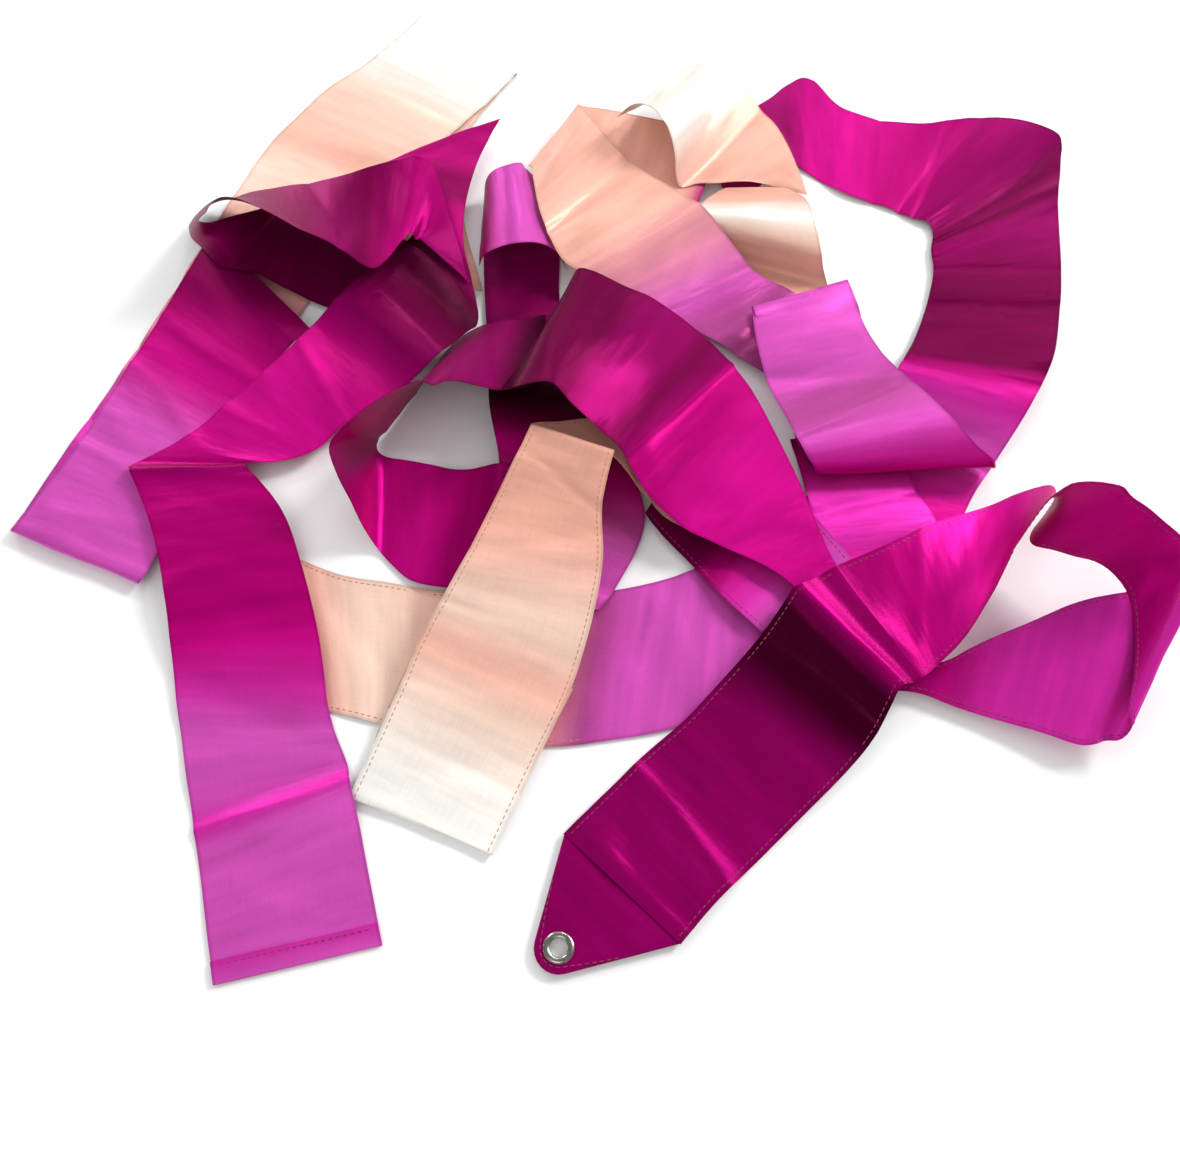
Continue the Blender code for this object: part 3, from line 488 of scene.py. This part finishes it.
def satin_strip(name, path, skin, low=0.0, high=None, creases=(), seed=0.0):
    """One drawn piece of satin: the stretch of a path between two distances."""
    high = path.length if high is None else high
    rungs = np.nonzero((path.at >= low - ALONG_STEP / 2) & (path.at <= high + ALONG_STEP / 2))[0]
    out = path.face()
    shares = column_shares()
    mesh = bmesh.new()
    dye_and_painted_light = mesh.verts.layers.float_color.new("dye_and_painted_light")
    cloth = mesh.loops.layers.uv.new("cloth")
    rows, spots = [], {}
    for index in rungs:
        left, right = path.left[index], path.right[index]
        width = np.linalg.norm(right - left)
        row = []
        for share in shares:
            height = ripple(path.at[index], share * width, seed) + pressed(path.at[index], share, creases)
            place = left + (right - left) * share + out[index] * height
            place[2] = max(place[2], CLOTH / 2)
            vertex = mesh.verts.new(place)
            edge = SELVEDGE_SHADE if min(share, 1 - share) < SELVEDGE / STRIP_WIDTH else 1.0
            # the colour run: dye with painted shade and painted highlights, darker at the selvedges
            vertex[dye_and_painted_light] = (*(path.colour[index] * edge), 1.0)
            spots[vertex] = (path.at[index], share * STRIP_WIDTH)
            row.append(vertex)
        rows.append(row)
    for before, after in zip(rows, rows[1:]):
        for column in range(len(shares) - 1):
            face = mesh.faces.new((before[column], before[column + 1], after[column + 1], after[column]))
            face.smooth = True
            for loop in face.loops:
                loop[cloth].uv = spots[loop.vert]
    for edge in mesh.edges:
        edge.smooth = not edge.is_boundary
    return finish_cloth(name, mesh, skin)


def finish_cloth(name, mesh, skin):
    piece = new_object(name, mesh, skin)
    shell = piece.modifiers.new("thickness", "SOLIDIFY")
    shell.thickness = CLOTH
    shell.offset = 0.0
    return piece


def new_object(name, mesh, skin):
    data = bpy.data.meshes.new(name)
    mesh.to_mesh(data)
    mesh.free()
    data.materials.append(skin)
    piece = bpy.data.objects.new(name, data)
    bpy.context.scene.collection.objects.link(piece)
    return piece


# ---- stitches ------------------------------------------------------------------------------------
def stitches(name, points, normal, skin):
    """A row of short threads along a line, each a slim rounded bead that dips into the cloth."""
    points = np.array(points)
    at = np.concatenate([[0.0], np.cumsum(np.linalg.norm(np.diff(points, axis=0), axis=1))])
    centres = np.arange(NEEDLE_PITCH, at[-1] - NEEDLE_PITCH / 2, NEEDLE_PITCH)
    mesh = bmesh.new()
    for centre in centres:
        here, ahead = (np.array([np.interp(value, at, points[:, i]) for i in range(3)])
                       for value in (centre - STITCH_LENGTH / 2, centre + STITCH_LENGTH / 2))
        up = np.array([np.interp(centre, at, normal[:, i]) for i in range(3)])
        along = Vector(ahead - here).normalized()
        side = Vector(up).cross(along).normalized()
        turn = Matrix((along, side, along.cross(side))).transposed().to_4x4()
        size = Matrix.Diagonal((STITCH_LENGTH / 2, STITCH_RADIUS, STITCH_RADIUS, 1.0))
        place = Matrix.Translation(Vector((here + ahead) / 2)) @ turn @ size
        bmesh.ops.create_uvsphere(mesh, u_segments=8, v_segments=6, radius=1.0, matrix=place)
    for face in mesh.faces:
        face.smooth = True
    return new_object(name, mesh, skin)


def edge_stitches(name, path, skin, low, high, side, seed=0.0, creases=()):
    """Two rows of stitches just inside one edge of a path, one on each face of the cloth."""
    rungs = np.nonzero((path.at >= low) & (path.at <= high))[0]
    out = path.face()
    rows = {1: [], -1: []}
    for index in rungs:
        left, right = path.left[index], path.right[index]
        width = np.linalg.norm(right - left)
        share = STITCH_INSET / width if side == "left" else 1 - STITCH_INSET / width
        height = ripple(path.at[index], share * width, seed) + pressed(path.at[index], share, creases)
        place = left + (right - left) * share + out[index] * height
        for face in rows:
            rows[face].append(place + out[index] * face * CLOTH / 2)
    return [stitches(f"{name}_{word}", rows[face], out[rungs] * face, skin)
            for word, face in (("front", 1), ("back", -1))]


# ---- materials -----------------------------------------------------------------------------------
class Nodes:
    """A short way to write a node tree."""

    def __init__(self, name):
        self.material = bpy.data.materials.new(name)
        self.material.use_nodes = True
        self.tree = self.material.node_tree
        self.shader = self.tree.nodes["Principled BSDF"]

    def add(self, kind, settings=None, **inputs):
        node = self.tree.nodes.new(kind)
        for key, value in (settings or {}).items():
            setattr(node, key, value)
        for key, value in inputs.items():
            self.plug(node, key.replace("_", " "), value)
        return node

    def plug(self, node, key, value):
        if isinstance(value, bpy.types.NodeSocket):
            self.tree.links.new(value, node.inputs[key])
        else:
            node.inputs[key].default_value = value

    def set(self, **inputs):
        for key, value in inputs.items():
            self.plug(self.shader, key.replace("_", " "), value)

    def stretched(self, source, across, along):
        """Coordinates with one unit each this many metres along and across the strip."""
        scale = self.add("ShaderNodeMapping", {"vector_type": "POINT"})
        scale.inputs["Scale"].default_value = (1 / along, 1 / across, 1.0)
        self.tree.links.new(source, scale.inputs["Vector"])
        return scale.outputs["Vector"]

    def texture(self, source, across, along, detail=2.0):
        vector = self.stretched(source, across, along)
        return self.add("ShaderNodeTexNoise", Vector=vector, Scale=1.0, Detail=detail).outputs["Fac"]

    def remap(self, value, low, high, start=0.3, stop=0.7):
        node = self.add("ShaderNodeMapRange", {"clamp": True}, Value=value)
        for key, number in (("From Min", start), ("From Max", stop), ("To Min", low), ("To Max", high)):
            node.inputs[key].default_value = number
        return node.outputs["Result"]

    def times(self, colour, factor):
        node = self.add("ShaderNodeVectorMath", {"operation": "SCALE"})
        self.tree.links.new(colour, node.inputs[0])
        self.plug(node, "Scale", factor)
        return node.outputs["Vector"]

    def product(self, a, b):
        node = self.add("ShaderNodeMath", {"operation": "MULTIPLY"})
        self.tree.links.new(a, node.inputs[0])
        self.tree.links.new(b, node.inputs[1])
        return node.outputs["Value"]


def satin(name, roughness=SINGLE_ROUGHNESS):
    """Dyed satin: floating threads that run along the strip, slubs, cloudy dye, painted glints across the
    strip and a soft lustre. Its colour is the strip's run of dye with painted shade and highlights.
    """
    nodes = Nodes(name)
    spot = nodes.add("ShaderNodeUVMap", {"uv_map": "cloth"}).outputs["UV"]
    dye_and_painted_light = nodes.add("ShaderNodeAttribute", {"attribute_name": "dye_and_painted_light"}).outputs["Color"]
    grains_and_glints = [nodes.remap(nodes.texture(spot, across, along, detail), dark, light)
              for across, along, detail, dark, light in (SLUBS, CROSS_THREADS, CLOUDS, GLINTS)]
    shade = grains_and_glints[0]
    for grain in grains_and_glints[1:]:
        shade = nodes.product(shade, grain)
    gloss = nodes.remap(grains_and_glints[0], roughness + ROUGHNESS_SPREAD, roughness - ROUGHNESS_SPREAD, *SLUBS[3:])
    weave = nodes.add("ShaderNodeTexWave", {"wave_type": "BANDS", "bands_direction": "DIAGONAL"},
                      Vector=nodes.stretched(spot, WEAVE, WEAVE), Scale=1.0, Distortion=0.6).outputs["Fac"]
    crinkle = nodes.texture(spot, *CRINKLE)
    fine = nodes.add("ShaderNodeBump", Strength=0.25, Distance=0.00006, Height=weave)
    soft = nodes.add("ShaderNodeBump", Strength=0.3, Distance=0.0008, Height=crinkle,
                     Normal=fine.outputs["Normal"])
    pale = nodes.add("ShaderNodeSeparateColor", Color=dye_and_painted_light).outputs["Green"]
    lustre = nodes.add("ShaderNodeVectorMath", {"operation": "MULTIPLY_ADD"})
    nodes.tree.links.new(dye_and_painted_light, lustre.inputs[0])
    lustre.inputs[1].default_value = (LUSTRE_GAIN,) * 3
    lustre.inputs[2].default_value = (LUSTRE_WHITE,) * 3
    tangent = nodes.add("ShaderNodeTangent", {"direction_type": "UV_MAP", "uv_map": "cloth"})
    nodes.set(Base_Color=nodes.times(dye_and_painted_light, shade), Roughness=gloss,
              Metallic=nodes.remap(pale, LUSTRE_DEEP, LUSTRE_PALE, *LUSTRE_RANGE),
              Specular_IOR_Level=nodes.remap(pale, GLOSS_DEEP, GLOSS_PALE, *GLOSS_RANGE),
              Anisotropic=0.6, Anisotropic_Rotation=0.25,
              Specular_Tint=lustre.outputs["Vector"], Normal=soft.outputs["Normal"],
              Tangent=tangent.outputs["Tangent"])
    return nodes.material


def thread_skin(name, dark, light):
    """Sewing thread: twisted, slightly fuzzy."""
    nodes = Nodes(name)
    place = nodes.add("ShaderNodeTexCoord").outputs["Object"]
    twist = nodes.add("ShaderNodeTexWave", {"wave_type": "BANDS", "bands_direction": "DIAGONAL"},
                      Vector=place, Scale=3000.0, Distortion=1.0).outputs["Fac"]
    # painted shade and painted light along the twist
    ramp = nodes.add("ShaderNodeValToRGB", Fac=twist)
    for stop, colour in zip(ramp.color_ramp.elements, (dark, light)):
        stop.color = (*colour, 1.0)
    bump = nodes.add("ShaderNodeBump", Strength=0.6, Distance=0.00005, Height=twist)
    nodes.set(Base_Color=ramp.outputs["Color"], Roughness=0.55, Sheen_Weight=0.3,
              Normal=bump.outputs["Normal"])
    return nodes.material


def eyelet_skin():
    """Nickel plate, worn a little warm and finely scratched by the clip."""
    nodes = Nodes("eyelet_metal")
    place = nodes.add("ShaderNodeTexCoord").outputs["Object"]
    wear = nodes.add("ShaderNodeTexNoise", Vector=place, Scale=420.0, Detail=4.0).outputs["Fac"]
    scratches = nodes.add("ShaderNodeTexNoise", Vector=nodes.stretched(place, 0.0002, 0.004), Scale=1.0,
                          Detail=3.0).outputs["Fac"]
    ramp = nodes.add("ShaderNodeValToRGB", Fac=wear)
    for stop, colour in zip(ramp.color_ramp.elements, NICKEL):
        stop.color = colour
    bump = nodes.add("ShaderNodeBump", Strength=0.15, Distance=0.0001, Height=scratches)
    nodes.set(Base_Color=ramp.outputs["Color"], Metallic=1.0, Roughness=nodes.remap(wear, 0.2, 0.38),
              Normal=bump.outputs["Normal"])
    return nodes.material


# ---- the pointed end and its eyelet --------------------------------------------------------------
def hull(points):
    """Corners of the smallest convex outline round some points in plan, in order."""
    def half(ordered):
        line = []
        for point in ordered:
            while len(line) > 1 and np.cross(line[-1] - line[-2], point - line[-1]) <= 0:
                line.pop()
            line.append(point)
        return line[:-1]

    ordered = [np.array(pair) for pair in sorted({(round(x, 6), round(y, 6)) for x, y, _ in points})]
    return np.array(half(ordered) + half(ordered[::-1]))


def node_points(node):
    return np.array([vertex.co[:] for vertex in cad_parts[node].data.vertices])


def reach(centre, way, outline):
    """How far the outline is from a centre inside it, along a unit vector in plan."""
    distance = 1.0
    for a, b in zip(outline, np.roll(outline, -1, axis=0)):
        edge = b - a
        across = way[0] * edge[1] - way[1] * edge[0]
        if abs(across) > 1e-9:
            to_edge = ((a - centre)[0] * edge[1] - (a - centre)[1] * edge[0]) / across
            if to_edge > 1e-6:
                distance = min(distance, to_edge)
    return distance


def point_spots(outline, centre, hole):
    """Rings of places round the eyelet, from its hole out to the outline."""
    turns = np.linspace(0, 2 * math.pi, POINT_TURNS, endpoint=False)
    corners = [math.atan2(*(corner - centre)[::-1]) % (2 * math.pi) for corner in outline]
    for corner in corners:
        turns[np.argmin(np.abs(turns - corner))] = corner
    rings = []
    for share in np.linspace(0, 1, POINT_RINGS) ** 0.8:
        ring = []
        for turn in turns:
            way = np.array([math.cos(turn), math.sin(turn)])
            ring.append(centre + way * (hole + (reach(centre, way, outline) - hole) * share))
        rings.append(ring)
    return rings


def folded_point(name, node, path, lift, skin):
    """One layer of the stitched point, slightly puffed between its eyelet and its rim."""
    outline, centre = hull(node_points(node)), eyelet_centre()
    along = (path.left[SHOULDER_RUNGS] + path.right[SHOULDER_RUNGS] - path.left[0] - path.right[0])[:2]
    along = along / np.linalg.norm(along)
    far = (outline - centre) @ along
    outline = outline + np.where(far > far.max() / 2, SHOULDER_LAP, 0.0)[:, None] * along
    rings = point_spots(outline, centre, EYELET_HOLE)
    low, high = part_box(node)
    level = (low.z + high.z) / 2 - CLOTH
    mesh = bmesh.new()
    dye_and_painted_light = mesh.verts.layers.float_color.new("dye_and_painted_light")
    cloth = mesh.loops.layers.uv.new("cloth")
    rows = []
    for step, ring in enumerate(rings):
        share = step / (len(rings) - 1)
        puff = lift * math.sin(math.pi * min(1.0, share * 1.05)) ** 0.7
        row = []
        for spot in ring:
            grain = noise.noise(Vector((*(spot / POINT_GRAIN), 2.0)))
            vertex = mesh.verts.new((*spot, level + puff * (1 + POINT_PATCHES * grain)))
            tint = SELVEDGE_SHADE if share > RIM else 1.0
            vertex[dye_and_painted_light] = (*(np.array(PLUM) * tint), 1.0)
            row.append(vertex)
        rows.append(row)
    for before, after in zip(rows, rows[1:]):
        for i in range(len(before)):
            k = (i + 1) % len(before)
            face = mesh.faces.new((before[i], after[i], after[k], before[k]))
            face.smooth = True
            for loop in face.loops:
                offset = np.array(loop.vert.co[:2]) - centre
                loop[cloth].uv = (offset @ along, offset @ np.array([-along[1], along[0]]))
    for edge in mesh.edges:
        edge.smooth = not edge.is_boundary
    return finish_cloth(name, mesh, skin)


def eyelet_centre():
    low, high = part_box("eyelet_barrel")
    return np.array([(low.x + high.x) / 2, (low.y + high.y) / 2])


def point_seam(path):
    """The line of stitches round the point: down one side, round the eyelet and back up the other."""
    outline, centre = hull(node_points("folded_tip")), eyelet_centre()
    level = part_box("folded_tip")[1].z + POINT_PUFF * 0.6
    start = math.atan2(*(((path.left[0] + path.right[0]) / 2)[:2] - centre)[::-1])
    turns = np.linspace(start + SEAM_GAP, start + 2 * math.pi - SEAM_GAP, SEAM_STEPS)
    line = []
    for turn in turns:
        way = np.array([math.cos(turn), math.sin(turn)])
        line.append((*(centre + way * (reach(centre, way, outline) - STITCH_INSET)), level))
    return np.array(line)


def eyelet(skin):
    """A rolled eyelet: crowned flange, throat and the pressed ring behind, turned about its axis."""
    low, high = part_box("eyelet_barrel")
    centre = eyelet_centre()
    outer, bore = (high.x - low.x) / 2, EYELET_BORE
    crown = (outer - bore) / 2
    rolled = crown * ROLLED_SHARE
    front, back = high.z - EYELET_CROWN, low.z + EYELET_CROWN / 2
    profile = []
    for turn in np.linspace(0, math.pi, CROWN_STEPS):
        profile.append((bore + crown + crown * math.cos(turn), front + EYELET_CROWN * math.sin(turn)))
    profile.append((bore, back))
    for turn in np.linspace(math.pi, 2 * math.pi, ROLL_STEPS):
        profile.append((bore + rolled + rolled * math.cos(turn), back + EYELET_CROWN / 2 * math.sin(turn)))
    profile += [
        (outer - crown * 0.3, back),
        (bore + FLANGE, back + FLANGE),
        (bore + FLANGE, front - FLANGE),
        (outer, front - FLANGE),
    ]
    mesh = bmesh.new()
    rows = []
    for turn in np.linspace(0, 2 * math.pi, EYELET_TURNS, endpoint=False):
        way = np.array([math.cos(turn), math.sin(turn)])
        rows.append([mesh.verts.new((*(centre + radius * way), height)) for radius, height in profile])
    for before, after in zip(rows, rows[1:] + rows[:1]):
        for i in range(len(profile)):
            k = (i + 1) % len(profile)
            face = mesh.faces.new((before[i], before[k], after[k], after[i]))
            face.smooth = True
    bmesh.ops.recalc_face_normals(mesh, faces=mesh.faces)
    piece = new_object("eyelet_ring", mesh, skin)
    piece.data.set_sharp_from_angle(angle=math.radians(50))
    return piece


# ---- building ------------------------------------------------------------------------------------
def place_ride(piece, body, slot, *nodes):
    """The piece moves with one body, and stands in for the frame's nodes."""
    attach(piece, body)
    if nodes:
        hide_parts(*nodes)
    return piece


def place_blend(piece, bodies, path, distance, slot, *nodes):
    """The piece keeps the place it is drawn in, baked into its mesh, and stands in for the frame's nodes.
    """
    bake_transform(piece)
    if nodes:
        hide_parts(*nodes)
    return piece


def heap_strips():
    """Satin for each stretch of the heap that lies on no joint."""
    for seed, (node, slot) in enumerate(HEAP_SLOTS.items()):
        name = node.replace("strip_", "satin_")
        path = Path(node)
        creases = [(at_left * path.length, at_right * path.length, rise, width)
                   for at_left, at_right, rise, width in CREASES.get(node, [])]
        piece = satin_strip(name, path, satin(name), creases=creases, seed=seed * SEED_STEP)
        place_ride(piece, "heap", slot, node)
        if node in SEWN:
            low, high = (share * path.length for share in SEWN[node])
            sewn_with = THREAD_ON_PEACH if slot == "satin_peach" else THREAD
            for side in ("left", "right"):
                row_name = node.replace("strip_", "stitches_") + "_" + side
                for row in edge_stitches(row_name, path, sewn_with, low, high, side,
                                         seed * SEED_STEP, creases):
                    place_ride(row, "heap", "thread")


def eyelet_side():
    """The doubled end: the strip from the point to the loop behind the ridge, its lining and its point."""
    path = Path("eyelet_tail_lower", "eyelet_tail_upper", "strip_eyelet_side")
    bend = Path("eyelet_tail_lower").length
    ridge = bend + Path("eyelet_tail_upper").length
    mid_tail = (bend + ridge) / 2
    past_ridge = ridge + LOOP_START
    skin = satin("satin_eyelet_tail", DOUBLED_ROUGHNESS)
    creases = [(ridge, ridge, *RIDGE_CREASE)]
    spans = (
        ("end", 0.0, mid_tail, ("eyelet_tail_lower", "stitch_lower_left", "stitch_lower_right")),
        ("ridge", mid_tail, past_ridge, ("eyelet_tail_upper", "stitch_upper_left", "stitch_upper_right")),
        ("loop", past_ridge, path.length, ("strip_eyelet_side",)),
    )
    for part, low, high, nodes in spans:
        rows = [satin_strip(f"satin_eyelet_{part}", path, skin, low, high, creases, EYELET_SEED)]
        for side in ("left", "right"):
            rows += edge_stitches(f"stitches_eyelet_{part}_{side}", path, THREAD, low, high, side,
                                  EYELET_SEED, creases)
        for row in rows:
            slot = "satin_plum" if row is rows[0] else "thread"
            if part == "end":
                place_blend(row, ("eyelet_tail", "eyelet_end"), path, bend, slot)
            elif part == "ridge":
                place_blend(row, ("heap", "eyelet_tail"), path, ridge, slot)
            else:
                place_ride(row, "heap", slot)
        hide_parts(*nodes)
    eyelet_lining(path, bend, mid_tail, skin)
    eyelet_point(path, skin)


def eyelet_lining(path, bend, mid_tail, skin):
    """The second layer of the doubled end, in two pieces."""
    lining = Path("lining_lower", "lining_upper")
    piece = satin_strip("lining_end", lining, skin, 0.0, mid_tail, seed=EYELET_SEED)
    place_blend(piece, ("eyelet_tail", "eyelet_end"), path, bend, "satin_plum", "lining_lower")
    piece = satin_strip("lining_ridge", lining, skin, mid_tail, lining.length, seed=EYELET_SEED)
    place_ride(piece, "eyelet_tail", "satin_plum", "lining_upper")


def eyelet_point(path, skin):
    """The folded point, its seams and its eyelet."""
    front = folded_point("point_front", "folded_tip", path, POINT_PUFF, skin)
    place_ride(front, "eyelet_end", "satin_plum", "folded_tip")
    back = folded_point("point_back", "folded_tip_back", path, -POINT_PUFF / 2, skin)
    place_ride(back, "eyelet_end", "satin_plum", "folded_tip_back")
    seam = stitches_on_flat("stitches_point", point_seam(path))
    place_ride(seam, "eyelet_end", "thread", "stitch_point")
    edges = path.left[SHOULDER_SEAM], path.right[SHOULDER_SEAM]
    shoulder = np.linspace(*edges, LINE_STEPS)[SEAM_MARGIN:-SEAM_MARGIN] + np.array([0, 0, CLOTH / 2])
    place_ride(stitches_on_flat("stitches_shoulder", shoulder), "eyelet_end", "thread")
    place_ride(eyelet(eyelet_skin()), "eyelet_end", "eyelet_metal", "eyelet_barrel", "eyelet_washer")


def stitches_on_flat(name, line):
    """Stitches along a line on cloth that lies level."""
    return stitches(name, line, np.repeat([[0.0, 0.0, 1.0]], len(line), axis=0), THREAD)


def hem_side():
    """The far end: hem, two links and the band they fold down from."""
    path = Path("hem_tail_lower", "hem_tail_upper", "strip_hem_side")
    bend = Path("hem_tail_lower").length
    turn = bend + Path("hem_tail_upper").length
    middle, past = (bend + turn) / 2, turn + LOOP_START
    skin = satin("satin_hem_tail")
    creases = [(bend, bend, *STORAGE_CREASE), (turn, turn, *FOLD_CREASE)]
    end = satin_strip("satin_hem_end", path, skin, 0.0, middle, creases, HEM_SEED)
    place_blend(end, ("hem_tail", "hem_end"), path, bend, "satin_orchid", "hem_tail_lower")
    top = satin_strip("satin_hem_top", path, skin, middle, past, creases, HEM_SEED)
    place_blend(top, ("heap", "hem_tail"), path, turn, "satin_magenta", "hem_tail_upper")
    band = satin_strip("satin_hem_side", path, skin, past, path.length, creases, HEM_SEED)
    place_ride(band, "heap", "satin_magenta", "strip_hem_side")
    hem = satin_strip("hem_fold", Path("hem_turn"), skin, seed=HEM_SEED)
    place_ride(hem, "hem_end", "satin_orchid", "hem_turn")
    place_ride(stitches_on_flat("stitches_hem", hem_seam()), "hem_end", "thread", "hem_stitch")


def hem_seam():
    """The line of stitches across the strip, just inside the hem's raw edge."""
    first, second = sheet_edges("hem_turn")
    ends = sorted(((first[i], second[i]) for i in (0, -1)), key=lambda pair: -pair[0][1] - pair[1][1])
    raw, folded = np.array(ends)
    line = np.linspace(*raw, LINE_STEPS)[1:-1]
    line = line + (folded.mean(axis=0) - raw.mean(axis=0)) * HEM_SEAM
    return line + np.array([0, 0, CLOTH / 2 + HEM_STITCH_RISE])


# ---- floor, lights and camera --------------------------------------------------------------------
def stage():
    """A plain white floor, four soft lights and an even white surround."""
    bpy.ops.mesh.primitive_plane_add(size=FLOOR_SIZE, location=(0.0, 0.0, -FLOOR_DROP))
    floor = bpy.context.object
    floor.name = "floor"
    paper = Nodes("floor")
    place = paper.add("ShaderNodeTexCoord").outputs["Object"]
    grain = paper.add("ShaderNodeTexNoise", Vector=place, Scale=60.0).outputs["Fac"]
    bump = paper.add("ShaderNodeBump", Strength=0.05, Distance=0.0005, Height=grain)
    paper.set(Base_Color=FLOOR_WHITE, Roughness=0.9, Specular_IOR_Level=0.1, Normal=bump.outputs["Normal"])
    floor.data.materials.append(paper.material)
    surround()
    for name, place, size, power in LIGHTS:
        lamp = bpy.data.lights.new(name, "AREA")
        lamp.shape = "RECTANGLE"
        lamp.size, lamp.size_y = size
        lamp.energy = power
        light = bpy.data.objects.new(name, lamp)
        light.location = place
        light.rotation_euler = (-Vector(place)).to_track_quat("-Z", "Y").to_euler()
        bpy.context.scene.collection.objects.link(light)


def surround():
    """White light from all round, dimmer where something shiny mirrors it."""
    world = bpy.data.worlds.new("surround")
    world.use_nodes = True
    tree = world.node_tree
    ray = tree.nodes.new("ShaderNodeLightPath")
    strength = tree.nodes.new("ShaderNodeMapRange")
    strength.inputs["To Min"].default_value = SURROUND
    strength.inputs["To Max"].default_value = SURROUND_GLOSS
    tree.links.new(ray.outputs["Is Glossy Ray"], strength.inputs["Value"])
    tree.nodes["Background"].inputs["Color"].default_value = (1.0, 1.0, 1.0, 1.0)
    tree.links.new(strength.outputs["Result"], tree.nodes["Background"].inputs["Strength"])
    bpy.context.scene.world = world


def camera():
    """Stands over the near side and looks down at a point in front of the heap's middle."""
    low, high = CAD_BOX
    aim = Vector(((low.x + high.x) / 2, (low.y + high.y) / 2, 0.0)) + Vector(VIEW_AIM)
    pitch = math.radians(VIEW_PITCH)
    back = Vector((0.0, -math.cos(pitch), math.sin(pitch)))
    data = bpy.data.cameras.new("camera")
    data.sensor_width = FILM_WIDTH
    data.lens = VIEW_LENS
    eye = bpy.data.objects.new("camera", data)
    eye.location = aim + back * VIEW_DISTANCE
    eye.rotation_euler = (-back).to_track_quat("-Z", "Y").to_euler()
    bpy.context.scene.collection.objects.link(eye)
    bpy.context.scene.camera = eye


THREAD = thread_skin("thread", *RED_THREAD)
THREAD_ON_PEACH = thread_skin("thread_on_peach", *TAN_THREAD)
heap_strips()
eyelet_side()
hem_side()
stage()
camera()
bpy.context.scene.view_settings.view_transform = "Standard"
